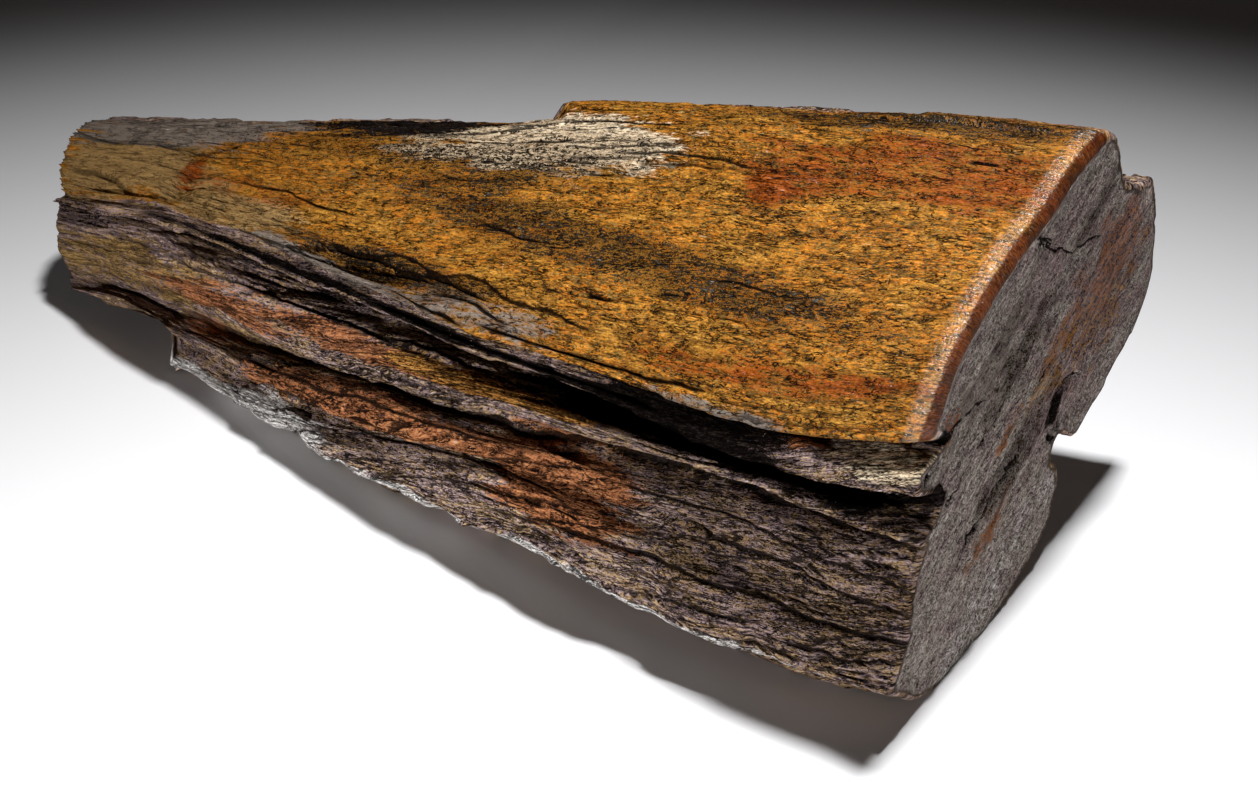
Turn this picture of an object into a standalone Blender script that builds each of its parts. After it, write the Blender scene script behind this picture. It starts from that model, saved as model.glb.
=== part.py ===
"""Petrified wood log: one broken length of stone wood, as a single closed solid.

Metres, +Z up. The log lies along X. Its small splintered end is at -X and its
large, nearly flat end at +X, the sealed upper face slopes down towards -Y, and
it rests on a flat break under its belly. Lines that run the length of the log
(crest, lip, ledges, grooves, foot and so on) are lofted into one skin.
"""
import math
from typing import NamedTuple

import bmesh
import bpy
from mathutils import Vector, noise

MM = 0.001

NAME = "petrified_log"
COLLECTION = "Petrified wood log"

# The length as drawn, and how finely the skin is divided.
LENGTH = 362 * MM
HALF_LENGTH = LENGTH / 2
RING_POINTS = 78
LENGTH_STEPS = 56
CAP_RINGS = 4

# The feature lines cross these stations, as shares of the length.
STATIONS = (0.0, 0.145, 0.335, 0.585, 0.835, 1.0)

# Each feature line as (y, z) in mm at every station, in order round the log:
# over the upper face towards the front, down the front, under, and up the back.
LINES_MM = {
    "crest": ((-50, 94), (-36, 105), (-20, 117), (0, 140), (14, 154), (26, 160)),
    "shoulder": ((-59, 91), (-48, 98), (-36, 111), (-24, 132), (-14, 149), (-8, 154)),
    "brow": ((-68, 85), (-60, 93), (-56, 100), (-52, 113), (-50, 130), (-46, 142)),
    "brink": ((-72, 83), (-68, 92), (-67, 95), (-68, 103), (-67, 115), (-66, 130)),
    "lip": ((-75, 81), (-74, 91), (-76, 92), (-82, 94), (-81, 98), (-78, 111)),
    "crack": ((-74, 78), (-71, 87), (-71, 86), (-75, 89), (-71, 93), (-63, 104)),
    "ledge_top": ((-75, 76), (-74, 84), (-75, 83), (-80, 86), (-79, 89), (-81, 101)),
    "ledge_foot": ((-75, 74), (-73, 82), (-73, 80), (-78, 82), (-77, 82), (-79, 93)),
    "recess": ((-72, 72), (-69, 79), (-68, 77), (-70, 78), (-66, 76), (-64, 83)),
    "rib": ((-80, 65), (-80, 72), (-82, 71), (-86, 77), (-80, 78), (-72, 75)),
    "rib_foot": ((-81, 55), (-81, 61), (-83, 61), (-86, 69), (-80, 73), (-73, 72)),
    "slot": ((-77, 45), (-76, 48), (-78, 52), (-82, 63), (-76, 70), (-71, 70)),
    "fold": ((-82, 41), (-84, 46), (-87, 50), (-90, 61), (-84, 65), (-75, 60)),
    "fold_foot": ((-82, 38), (-84, 42), (-87, 44), (-90, 55), (-84, 57), (-75, 51)),
    "furrow": ((-78, 35), (-80, 39), (-82, 38), (-85, 51), (-82, 51), (-76, 44)),
    "belly": ((-82, 31), (-87, 31), (-91, 32), (-92, 40), (-88, 38), (-80, 33)),
    "foot": ((-79, 28), (-83, 26), (-87, 22), (-89, 22), (-88, 17), (-83, 21)),
    "keel_front": ((-60, 30), (-50, 10), (-54, -3), (-58, -3), (-57, -3), (-48, -3)),
    "keel_back": ((-44, 30), (-28, 10), (-18, -3), (-6, -3), (2, -3), (0, -3)),
    "lobe_foot": ((-36, 34), (-20, 18), (-4, 8), (12, 6), (20, 5), (18, 6)),
    "lobe": ((-33, 37), (-14, 26), (4, 20), (20, 18), (28, 18), (32, 16)),
    "lobe_top": ((-32, 42), (-12, 33), (6, 28), (22, 28), (30, 30), (35, 32)),
    "notch": ((-35, 46), (-15, 43), (3, 41), (18, 43), (24, 46), (24, 50)),
    "cheek": ((-31, 52), (-8, 50), (12, 47), (28, 45), (38, 43), (43, 43)),
    "hip": ((-26, 60), (0, 60), (24, 57), (48, 55), (66, 54), (76, 54)),
    "flank": ((-23, 70), (4, 74), (30, 75), (60, 74), (82, 73), (95, 72)),
    "haunch": ((-26, 79), (-2, 88), (22, 96), (52, 103), (74, 108), (88, 105)),
    "shelf": ((-30, 89), (-11, 95), (10, 105), (40, 117), (64, 125), (80, 121)),
    "step": ((-36, 92), (-19, 99), (0, 110), (28, 126), (46, 136), (55, 133)),
    "back_edge": ((-43, 94), (-28, 103), (-10, 115), (14, 135), (30, 148), (40, 153)),
}

# Broken ends: how far each line stops short of the full length, in mm.
SMALL_END_MM = {
    "crest": 2, "shoulder": 3, "brow": 6, "brink": 10, "lip": 14, "crack": 16,
    "ledge_top": 10, "ledge_foot": 8, "recess": 7, "rib": 12, "rib_foot": 12,
    "slot": 12, "fold": 16, "fold_foot": 17, "furrow": 18, "belly": 20, "foot": 24,
    "keel_front": 28, "keel_back": 30, "lobe_foot": 27, "lobe": 23, "lobe_top": 21,
    "notch": 24, "cheek": 14, "hip": 9, "flank": 4, "haunch": 5, "shelf": 12,
    "step": 7, "back_edge": 6,
}

# The foot has broken away at the small end, up to a jog: how far (y, z) each line
# of it lies moved in there, in mm.
FOOT_BREAK_MM = {
    "fold": (0, 2), "fold_foot": (1, 4), "furrow": (2, 6), "belly": (7, 11),
    "foot": (13, 15), "keel_front": (14, 16), "keel_back": (6, 12), "lobe_foot": (2, 8),
    "lobe": (0, 5), "lobe_top": (0, 2),
}
FOOT_BREAK_X = -114 * MM
FOOT_BREAK_RUN = 8 * MM

# The log runs on past its drawn length towards the small end, leaning back and
# down: each station lies this share further from the pivot than it is drawn.
PIVOT = Vector((375, -512, 454)) * MM
STATION_REACH = (0.085, 0.065, 0.042, 0.02, 0.0, 0.0)
CENTRING = Vector((22.8, -1.6, 0)) * MM


class Mark(NamedTuple):
    """A hollow or a swelling: where it lies, how far it reaches and how high it is."""

    x: float             # mm along the log
    line: str            # the feature line it is centred on
    beyond: float        # how far past that line towards the next one, in lines
    reach_along: float   # mm
    reach_round: float   # lines
    height: float        # mm, below zero for a hollow


MARKS = (
    Mark(-20, "brink", 0.5, 42, 0.7, -3.2),       # gouge in the front of the upper face
    Mark(18, "lip", -0.2, 34, 0.6, 2.2),          # plate left standing below the gouge
    Mark(-60, "lip", -0.3, 30, 0.8, 1.8),         # smooth facet before it
    Mark(-117, "brow", 0.8, 7, 1.4, -3.0),        # break behind the chunk at the small end
    Mark(-150, "brink", 0.6, 30, 0.5, -2.6),      # crack under that chunk
    Mark(-140, "shoulder", 0.5, 30, 1.6, 2.2),    # the chunk itself
    Mark(118, "rib_foot", 0.5, 60, 1.2, -2.0),    # undercut by the big end
    Mark(-40, "fold_foot", 0.0, 75, 1.3, 2.4),    # rust-coloured swelling of the front
    Mark(60, "belly", -0.4, 50, 0.9, 2.5),        # lump low on the front
    Mark(47, "foot", 0.1, 32, 1.4, -4.2),         # dip in the rim under it
    Mark(-53, "foot", -0.2, 9, 1.2, -4.0),        # chips in that rim
    Mark(-104, "foot", -0.3, 10, 1.2, -3.0),
    Mark(140, "back_edge", 0.6, 45, 1.4, 2.0),    # rise in the upper back edge
    Mark(-20, "hip", 0.5, 40, 1.2, -4.0),         # scar in the back
    Mark(95, "haunch", 0.3, 45, 1.0, 4.0),        # knot on the back
    Mark(-85, "flank", 0.4, 35, 1.0, 3.0),        # lesser knot
)

# The top plate has split away along the crest on the small-end side of a break.
PLATE_BREAK_X = -2 * MM
PLATE_BREAK_SLANT = 11 * MM
PLATE_DROP = 7 * MM
PLATE_DROP_FADES_OVER = 125 * MM
PLATE_DROP_AT_CREST = 0.8
PLATE_FRONT_LINES = 0.3
PLATE_FRONT_WIDENS = 0.009 / MM
PLATE_BACK_LINES = (2.0, 3.0)

# Weathering along the grain: ridges, plates that split off at a step, and lumps.
SEALED_FACE = ("crest", "shoulder", "brow")
SEALED_SHARE = 0.35
RIDGE_HEIGHT = 2.6 * MM
RIDGE_PER_METRE_ALONG = 9.0
RIDGE_PER_METRE_ACROSS = 70.0
PLATE_HEIGHT = 1.5 * MM
PLATE_PER_METRE_ALONG = 14.0
PLATE_PER_METRE_ACROSS = 34.0
PLATE_LEVELS = 3.2
LUMP_HEIGHT = 2.0 * MM
LUMP_PER_METRE = 24.0
END_RELIEF = 1.2 * MM
END_RELIEF_PER_METRE = 55.0
END_RELIEF_PER_METRE_ACROSS = 12.0
SMALL_END_RELIEF = 5.0 * MM
SMALL_END_PLATES_PER_METRE = 88.0

# The laminations lean from the upper back to the lower front at this angle.
BEDDING_TILT = math.radians(30)

STONE_COLOUR = (0.19, 0.10, 0.045, 1.0)
STONE_ROUGHNESS = 0.55


def clear_scene():
    """Remove every object that the session started with."""
    for item in list(bpy.data.objects):
        bpy.data.objects.remove(item, do_unlink=True)


def make_collection(name):
    """Link a new collection to the scene and return it."""
    collection = bpy.data.collections.new(name)
    bpy.context.scene.collection.children.link(collection)
    return collection


def make_stone():
    """Return the material of the petrified wood."""
    stone = bpy.data.materials.new("petrified_wood")
    stone.use_nodes = True
    shader = stone.node_tree.nodes["Principled BSDF"]
    shader.inputs["Base Color"].default_value = STONE_COLOUR
    shader.inputs["Roughness"].default_value = STONE_ROUGHNESS
    shader.inputs["Metallic"].default_value = 0.0
    stone.diffuse_color = STONE_COLOUR
    return stone


def spline(values, share):
    """Read a smooth curve through one value per station at a share of the length."""
    last = len(STATIONS) - 2
    index = max(i for i in range(last + 1) if STATIONS[i] <= max(share, 0.0))
    span = STATIONS[index + 1] - STATIONS[index]
    before = max(index - 1, 0)
    after = min(index + 2, len(STATIONS) - 1)
    slope_in = (values[index + 1] - values[before]) / (STATIONS[index + 1] - STATIONS[before])
    slope_out = (values[after] - values[index]) / (STATIONS[after] - STATIONS[index])
    f = (share - STATIONS[index]) / span
    rise = values[index + 1] - values[index]
    tangent_in = slope_in * span
    tangent_out = slope_out * span
    return (values[index] + tangent_in * f
            + (3 * rise - 2 * tangent_in - tangent_out) * f ** 2
            + (tangent_in + tangent_out - 2 * rise) * f ** 3)


def line_point(name, share):
    """Return (y, z) in metres where a feature line crosses a share of the length."""
    places = LINES_MM[name]
    return Vector((spline([p[0] for p in places], share),
                   spline([p[1] for p in places], share))) * MM


def ring_layout():
    """Share the ring's points among the gaps between lines, by their length."""
    names = list(LINES_MM)
    corners = [line_point(name, STATIONS[-3]) for name in names]
    gaps = [(corners[(i + 1) % len(names)] - corners[i]).length for i in range(len(names))]
    spare = RING_POINTS - len(names)
    steps = [1 + int(spare * gap / sum(gaps) + 0.5) for gap in gaps]
    layout = []
    for i, count in enumerate(steps):
        for j in range(count):
            layout.append((names[i], names[(i + 1) % len(names)], j / count))
    return layout


def swell(offset, reach):
    """Return a smooth hump of height one that ends at its reach."""
    return max(0.0, 1.0 - (offset / reach) ** 2) ** 2


def marks_height(x, place):
    """Return how high all the marks stand at x and at a place round the lines."""
    names = list(LINES_MM)
    height = 0.0
    for mark in MARKS:
        round_offset = place - names.index(mark.line) - mark.beyond
        height += (mark.height * MM * swell(x / MM - mark.x, mark.reach_along)
                   * swell(round_offset, mark.reach_round))
    return height


def plate_drop(x, place):
    """Return how far the surface is sunk where the top plate has split away."""
    count = len(LINES_MM)
    beyond = place if place < count / 2 else place - count
    if beyond > 0:
        limit = PLATE_FRONT_LINES + PLATE_FRONT_WIDENS * max(0.0, -x)
        share = PLATE_DROP_AT_CREST * max(0.0, 1.0 - beyond / limit)
    else:
        near, far = PLATE_BACK_LINES
        share = PLATE_DROP_AT_CREST + (1.0 - PLATE_DROP_AT_CREST) * min(1.0, -beyond)
        share *= min(1.0, max(0.0, (far + beyond) / (far - near)))
    edge = PLATE_BREAK_X + PLATE_BREAK_SLANT * max(0.0, 1.0 + beyond)
    if x > edge:
        return 0.0
    return PLATE_DROP * share * max(0.0, 1.0 - (edge - x) / PLATE_DROP_FADES_OVER)


def foot_break(x, first, second, blend):
    """Return how far (y, z) the skin lies moved in where the foot has broken away."""
    start = Vector(FOOT_BREAK_MM.get(first, (0, 0)))
    end = Vector(FOOT_BREAK_MM.get(second, (0, 0)))
    gone = min(1.0, max(0.0, 0.5 - (x - FOOT_BREAK_X) / FOOT_BREAK_RUN))
    return start.lerp(end, blend) * MM * gone


def settled(point):
    """Return where a drawn point of the log really lies, clear of the ground."""
    share = (point.x + HALF_LENGTH) / LENGTH
    moved = PIVOT + (point - PIVOT) * (1.0 + spline(STATION_REACH, share)) + CENTRING
    moved.z = max(moved.z, 0.0)
    return moved


def weathering(point, first, second):
    """Return the height of the lumps, the split plates and the ridges along the grain."""
    grain = Vector((point.x * RIDGE_PER_METRE_ALONG,
                    point.y * RIDGE_PER_METRE_ACROSS,
                    point.z * RIDGE_PER_METRE_ACROSS))
    sheet = Vector((point.x * PLATE_PER_METRE_ALONG,
                    point.y * PLATE_PER_METRE_ACROSS,
                    point.z * PLATE_PER_METRE_ACROSS))
    height = RIDGE_HEIGHT * noise.noise(grain)
    height += PLATE_HEIGHT * round(PLATE_LEVELS * noise.noise(sheet))
    height += LUMP_HEIGHT * noise.noise(point * LUMP_PER_METRE)
    sealed = first in SEALED_FACE or second in SEALED_FACE
    return height * (SEALED_SHARE if sealed else 1.0)


def section(layout, share):
    """Return the ring of skin points at a share of the length, relief included."""
    names = list(LINES_MM)
    flat = []
    for first, second, blend in layout:
        place = line_point(first, share).lerp(line_point(second, share), blend)
        inset = SMALL_END_MM[first] + (SMALL_END_MM[second] - SMALL_END_MM[first]) * blend
        x = -HALF_LENGTH + share * LENGTH + inset * MM * (1 - share)
        place += foot_break(x, first, second, blend)
        flat.append(Vector((x, place.x, place.y)))
    ring = []
    for i, (first, second, blend) in enumerate(layout):
        point = flat[i]
        along = flat[(i + 1) % len(flat)] - flat[i - 1]
        outward = Vector((0, along.z, -along.y)).normalized()
        height = weathering(point, first, second)
        height += marks_height(point.x, names.index(first) + blend)
        height -= plate_drop(point.x, names.index(first) + blend)
        ring.append(point + outward * height)
    return ring


def bedding_height(point):
    """Return how high a point lies across the laminations."""
    return point.z * math.cos(BEDDING_TILT) - point.y * math.sin(BEDDING_TILT)


def end_offset(point, side):
    """Return how far the face of an end stands out along X at a point of it."""
    level = bedding_height(point)
    if side > 0:
        spot = Vector((0.0, level * END_RELIEF_PER_METRE, point.y * END_RELIEF_PER_METRE_ACROSS))
        return END_RELIEF * noise.noise(spot)
    plate = noise.cell(Vector((level * SMALL_END_PLATES_PER_METRE, 0.0, 0.0)))
    return SMALL_END_RELIEF * (plate - 0.5)


def cap_end(mesh, ring, side):
    """Close an end with shrinking rings of faces round its middle."""
    middle = sum((v.co for v in ring), Vector()) / len(ring)
    outer = ring
    for step in range(1, CAP_RINGS):
        shrink = step / CAP_RINGS
        inner = []
        for rim in ring:
            spot = rim.co.lerp(middle, shrink)
            spot.x += end_offset(spot, side)
            inner.append(mesh.verts.new(spot))
        join_rings(mesh, outer, inner, side)
        outer = inner
    tip = middle.copy()
    tip.x += end_offset(middle, side)
    hub = mesh.verts.new(tip)
    for i, vertex in enumerate(outer):
        following = outer[(i + 1) % len(outer)]
        mesh.faces.new((vertex, following, hub) if side > 0 else (following, vertex, hub))


def join_rings(mesh, first, second, side):
    """Bridge two rings of equal count with pairs of triangles."""
    count = len(first)
    for i in range(count):
        j = (i + 1) % count
        a, b, c, d = first[i], first[j], second[j], second[i]
        if side > 0:
            mesh.faces.new((a, b, c))
            mesh.faces.new((a, c, d))
        else:
            mesh.faces.new((a, c, b))
            mesh.faces.new((a, d, c))


def build_log(collection, stone):
    """Loft the skin, cap both ends and return the finished solid."""
    layout = ring_layout()
    mesh = bmesh.new()
    rings = []
    for step in range(LENGTH_STEPS + 1):
        points = section(layout, step / LENGTH_STEPS)
        rings.append([mesh.verts.new(point) for point in points])
    for first, second in zip(rings, rings[1:]):
        join_rings(mesh, first, second, 1)
    cap_end(mesh, rings[0], -1)
    cap_end(mesh, rings[-1], 1)
    for vertex in mesh.verts:
        vertex.co = settled(vertex.co)
    bmesh.ops.recalc_face_normals(mesh, faces=mesh.faces)
    data = bpy.data.meshes.new(NAME)
    mesh.to_mesh(data)
    mesh.free()
    log = bpy.data.objects.new(NAME, data)
    log.data.materials.append(stone)
    collection.objects.link(log)
    return log


def main():
    """Build the petrified wood log."""
    clear_scene()
    collection = make_collection(COLLECTION)
    build_log(collection, make_stone())


main()
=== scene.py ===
"""Looks of the petrified wood log: a fine skin with its finish, on a pale table.

The log is one piece of stone. Its skin is lofted through the same feature lines
as the solid, weathered along the grain, marked with cracks and split plates, and
closed by two broken ends. Lengths in the tables are in millimetres.
"""

from __future__ import annotations

import logging
import math
import operator
from dataclasses import dataclass, field, replace
from enum import Enum
from functools import reduce
from typing import Any, Sequence

import bpy
import numpy as np
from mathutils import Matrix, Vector, geometry, noise

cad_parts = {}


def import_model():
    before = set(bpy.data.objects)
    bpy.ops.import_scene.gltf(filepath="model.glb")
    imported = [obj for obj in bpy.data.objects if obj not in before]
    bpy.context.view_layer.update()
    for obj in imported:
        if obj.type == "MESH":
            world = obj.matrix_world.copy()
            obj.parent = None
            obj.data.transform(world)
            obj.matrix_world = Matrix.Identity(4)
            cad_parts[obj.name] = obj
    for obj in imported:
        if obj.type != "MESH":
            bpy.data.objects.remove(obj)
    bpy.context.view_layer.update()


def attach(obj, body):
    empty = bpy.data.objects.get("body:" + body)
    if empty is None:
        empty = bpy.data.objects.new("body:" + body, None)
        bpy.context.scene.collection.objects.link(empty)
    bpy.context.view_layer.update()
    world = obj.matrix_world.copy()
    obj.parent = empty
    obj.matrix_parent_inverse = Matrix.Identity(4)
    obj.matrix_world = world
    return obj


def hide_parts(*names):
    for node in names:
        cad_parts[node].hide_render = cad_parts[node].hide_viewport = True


MM = 0.001
NODE = "petrified_log"
BODY = "root"

LENGTH = 362.0
HALF_LENGTH = LENGTH / 2
STATIONS = (0.0, 0.145, 0.335, 0.585, 0.835, 1.0)
MIDDLE_STATION = 3
# The lines of the sealed upper face, and those of the lobe low at the back.
SEALED_LINES = ("crest", "shoulder", "brow", "brink", "lip")
LOBE_LINES = ("keel_back", "lobe_foot", "lobe", "lobe_top")

# Rounds in which a path's crossing with a ring settles.
FOLLOW_ROUNDS = 2
# What keeps a length from being zero, and how close two points of a face may be.
TINY = 1e-9
CLOSE = 1e-6

# Primes and shifts that scramble a lattice corner into a repeatable number.
LATTICE_PRIMES = (73856093, 19349663, 83492791)
SEED_PRIME = 40503
SCRAMBLES = ((15, 739982445), (12, 695872825))
LAST_SHIFT = 15
WORD = 0xFFFFFFFF
HALF_WORD = 0xFFFF

# How each octave of a pattern differs from the one before it.
OCTAVE_SCALE = 2.03
OCTAVE_SHIFT = 17.3
OCTAVE_WEIGHT = 0.5

# The middle of a finish's patterns, which run from 0 to 1.
MIDDLE = 0.5
# How the patches of open gaps are drawn from the gaps' own pattern.
PATCH_ALONG = 0.8
PATCH_ACROSS = 2.2
PATCH_SHIFT = 9

# A range or a pair of shares; a linear colour; and a colour's tones, from 0 to 255.
Span = tuple[float, float]
Colour = tuple[float, float, float, float]
Tones = tuple[tuple[int, int, int], ...]

log_messages = logging.getLogger("petrified_log")


@dataclass(frozen=True)
class FeatureLine:
    """One line of the skin that runs the length of the log.

    Attributes:
        places: (y, z) at each station, small end first.
        short_by: how far the line stops short of the full length at the small end.
        crease: True where the skin turns sharply at the line.
        rough: share of the full weathering, from 0 for a sealed face to 1.
        seen: share of the full density of points after the line.
    """

    places: tuple[tuple[float, float], ...]
    short_by: float
    crease: bool
    rough: float
    seen: float


LINES: dict[str, FeatureLine] = {
    "crest": FeatureLine(
        ((-50, 94), (-36, 105), (-20, 117), (0, 140), (14, 154), (26, 160)), 2, False, 0.3, 1.0),
    "shoulder": FeatureLine(
        ((-59, 91), (-48, 98), (-36, 111), (-24, 132), (-14, 149), (-8, 154)), 3, False, 0.2, 1.0),
    "brow": FeatureLine(
        ((-68, 85), (-60, 93), (-56, 100), (-52, 113), (-50, 130), (-46, 142)), 6, False, 0.2, 1.0),
    "brink": FeatureLine(
        ((-72, 83), (-68, 92), (-67, 95), (-68, 103), (-67, 115), (-66, 130)), 10, False, 0.3, 1.0),
    "lip": FeatureLine(
        ((-75, 81), (-74, 91), (-76, 92), (-82, 94), (-81, 98), (-78, 111)), 14, True, 0.4, 1.3),
    "crack": FeatureLine(
        ((-74, 78), (-71, 87), (-71, 86), (-75, 89), (-71, 93), (-63, 104)), 16, True, 0.4, 1.3),
    "ledge_top": FeatureLine(
        ((-75, 76), (-74, 84), (-75, 83), (-80, 86), (-79, 89), (-81, 101)), 10, True, 0.5, 1.3),
    "ledge_foot": FeatureLine(
        ((-75, 74), (-73, 82), (-73, 80), (-78, 82), (-77, 82), (-79, 93)), 8, True, 0.5, 1.1),
    "recess": FeatureLine(
        ((-72, 72), (-69, 79), (-68, 77), (-70, 78), (-66, 76), (-64, 83)), 7, False, 0.6, 1.1),
    "rib": FeatureLine(
        ((-80, 65), (-80, 72), (-82, 71), (-86, 77), (-80, 78), (-72, 75)), 12, False, 0.7, 1.2),
    "rib_foot": FeatureLine(
        ((-81, 55), (-81, 61), (-83, 61), (-86, 69), (-80, 73), (-73, 72)), 12, False, 0.7, 1.2),
    "slot": FeatureLine(
        ((-77, 45), (-76, 48), (-78, 52), (-82, 63), (-76, 70), (-71, 70)), 12, True, 0.6, 1.2),
    "fold": FeatureLine(
        ((-82, 41), (-84, 46), (-87, 50), (-90, 61), (-84, 65), (-75, 60)), 16, False, 0.9, 1.2),
    "fold_foot": FeatureLine(
        ((-82, 38), (-84, 42), (-87, 44), (-90, 55), (-84, 57), (-75, 51)), 17, False, 0.9, 1.2),
    "furrow": FeatureLine(
        ((-78, 35), (-80, 39), (-82, 38), (-85, 51), (-82, 51), (-76, 44)), 18, False, 0.9, 1.2),
    "belly": FeatureLine(
        ((-82, 31), (-87, 31), (-91, 32), (-92, 40), (-88, 38), (-80, 33)), 20, False, 1.0, 1.1),
    "foot": FeatureLine(
        ((-79, 28), (-83, 26), (-87, 22), (-89, 22), (-88, 17), (-83, 21)), 24, False, 0.8, 0.35),
    "keel_front": FeatureLine(
        ((-60, 30), (-50, 10), (-54, -3), (-58, -3), (-57, -3), (-48, -3)), 28, False, 0.6, 0.2),
    "keel_back": FeatureLine(
        ((-44, 30), (-28, 10), (-18, -3), (-6, -3), (2, -3), (0, -3)), 30, False, 0.6, 0.35),
    "lobe_foot": FeatureLine(
        ((-36, 34), (-20, 18), (-4, 8), (12, 6), (20, 5), (18, 6)), 27, False, 0.8, 0.4),
    "lobe": FeatureLine(
        ((-33, 37), (-14, 26), (4, 20), (20, 18), (28, 18), (32, 16)), 23, False, 0.8, 0.4),
    "lobe_top": FeatureLine(
        ((-32, 42), (-12, 33), (6, 28), (22, 28), (30, 30), (35, 32)), 21, False, 0.8, 0.4),
    "notch": FeatureLine(
        ((-35, 46), (-15, 43), (3, 41), (18, 43), (24, 46), (24, 50)), 24, False, 0.8, 0.4),
    "cheek": FeatureLine(
        ((-31, 52), (-8, 50), (12, 47), (28, 45), (38, 43), (43, 43)), 14, False, 0.9, 0.45),
    "hip": FeatureLine(
        ((-26, 60), (0, 60), (24, 57), (48, 55), (66, 54), (76, 54)), 9, False, 1.0, 0.45),
    "flank": FeatureLine(
        ((-23, 70), (4, 74), (30, 75), (60, 74), (82, 73), (95, 72)), 4, False, 1.0, 0.45),
    "haunch": FeatureLine(
        ((-26, 79), (-2, 88), (22, 96), (52, 103), (74, 108), (88, 105)), 5, False, 0.9, 0.45),
    "shelf": FeatureLine(
        ((-30, 89), (-11, 95), (10, 105), (40, 117), (64, 125), (80, 121)), 12, True, 0.8, 0.5),
    "step": FeatureLine(
        ((-36, 92), (-19, 99), (0, 110), (28, 126), (46, 136), (55, 133)), 7, False, 0.7, 0.6),
    "back_edge": FeatureLine(
        ((-43, 94), (-28, 103), (-10, 115), (14, 135), (30, 148), (40, 153)), 6, False, 0.5, 1.0),
}
NAMES = list(LINES)

# How far (y, z) each line lies moved in where the foot has broken away at the small end.
FOOT_BREAK: dict[str, tuple[float, float]] = {
    "fold": (0, 2), "fold_foot": (1, 4), "furrow": (2, 6), "belly": (7, 11),
    "foot": (13, 15), "keel_front": (14, 16), "keel_back": (6, 12), "lobe_foot": (2, 8),
    "lobe": (0, 5), "lobe_top": (0, 2),
}


class Stain(Enum):
    """What lies over the stone in patches: stains, the darkest of which is also used as painted
    shade in grooves and cracks, and SMOOTH where it is less weathered.
    """

    ASH = "ash"
    # Soot: a real dark patch on the upper face, and painted shade in the deep groove, the open crack
    # under the lip, the recess and the end's deep crack.
    SOOT = "soot"
    RED = "red"
    RUST = "rust"
    GOLD = "gold"
    OCHRE = "ochre"
    BLEACH = "bleach"
    SPECKLE = "speckle"
    SLAB = "slab"
    HIDE = "hide"
    TAN = "tan"
    SMOOTH = "smooth"


@dataclass(frozen=True)
class Mark:
    """A hollow or a swelling of the skin.

    Attributes:
        x: where its middle lies along the log.
        line: the feature line that it is centred on.
        beyond: how far past that line towards the next one, in lines.
        reach_along: half its length.
        reach_round: half its width, in lines.
        height: how far it stands out, below zero for a hollow.
    """

    x: float
    line: str
    beyond: float
    reach_along: float
    reach_round: float
    height: float


MARKS: tuple[Mark, ...] = (
    Mark(-20, "brink", 0.5, 42, 0.7, -3.2),
    Mark(18, "lip", -0.2, 34, 0.6, 2.2),
    Mark(-60, "lip", -0.3, 30, 0.8, 1.8),
    Mark(-117, "brow", 0.8, 7, 1.4, -3.0),
    Mark(-150, "brink", 0.6, 30, 0.5, -2.6),
    Mark(-140, "shoulder", 0.5, 30, 1.6, 2.2),
    Mark(118, "rib_foot", 0.5, 60, 1.2, -2.0),
    Mark(-40, "fold_foot", 0.0, 75, 1.3, 2.4),
    Mark(60, "belly", -0.4, 50, 0.9, 2.5),
    Mark(47, "foot", 0.1, 32, 1.4, -4.2),
    Mark(-53, "foot", -0.2, 9, 1.2, -4.0),
    Mark(-104, "foot", -0.3, 10, 1.2, -3.0),
    Mark(140, "back_edge", 0.6, 45, 1.4, 2.0),
    Mark(-20, "hip", 0.5, 40, 1.2, -4.0),
    Mark(95, "haunch", 0.3, 45, 1.0, 4.0),
    Mark(-85, "flank", 0.4, 35, 1.0, 3.0),
)

# A sliver left in the open crack, and chips in the rim of the foot.
CHIPS: tuple[Mark, ...] = (
    Mark(143, "crack", 0.7, 7, 0.4, 6.5),
    Mark(-76, "foot", -0.2, 7, 1.0, -1.8),
    Mark(-30, "foot", -0.2, 8, 1.0, -1.4),
    Mark(14, "foot", -0.2, 9, 1.0, -1.4),
    Mark(96, "foot", -0.2, 8, 1.0, -1.2),
    Mark(132, "foot", -0.2, 12, 1.0, -1.6),
)


@dataclass(frozen=True)
class Crack:
    """An open line in the skin or in the big end's face, or the edge of a split plate.

    Attributes:
        path: (x, girth) along it, in order of x, where girth is the way round from the
            crest, measured at the big end; or (y, z) along it, on the big end's face.
        width: half its width.
        depth: how deep it is.
        step: how far the skin beyond it lies lower; below zero, the skin before it.
        fade: how far from the edge the skin has come back to its own level.
    """

    path: tuple[tuple[float, float], ...]
    width: float
    depth: float
    step: float = 0.0
    fade: float = 30.0


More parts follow.
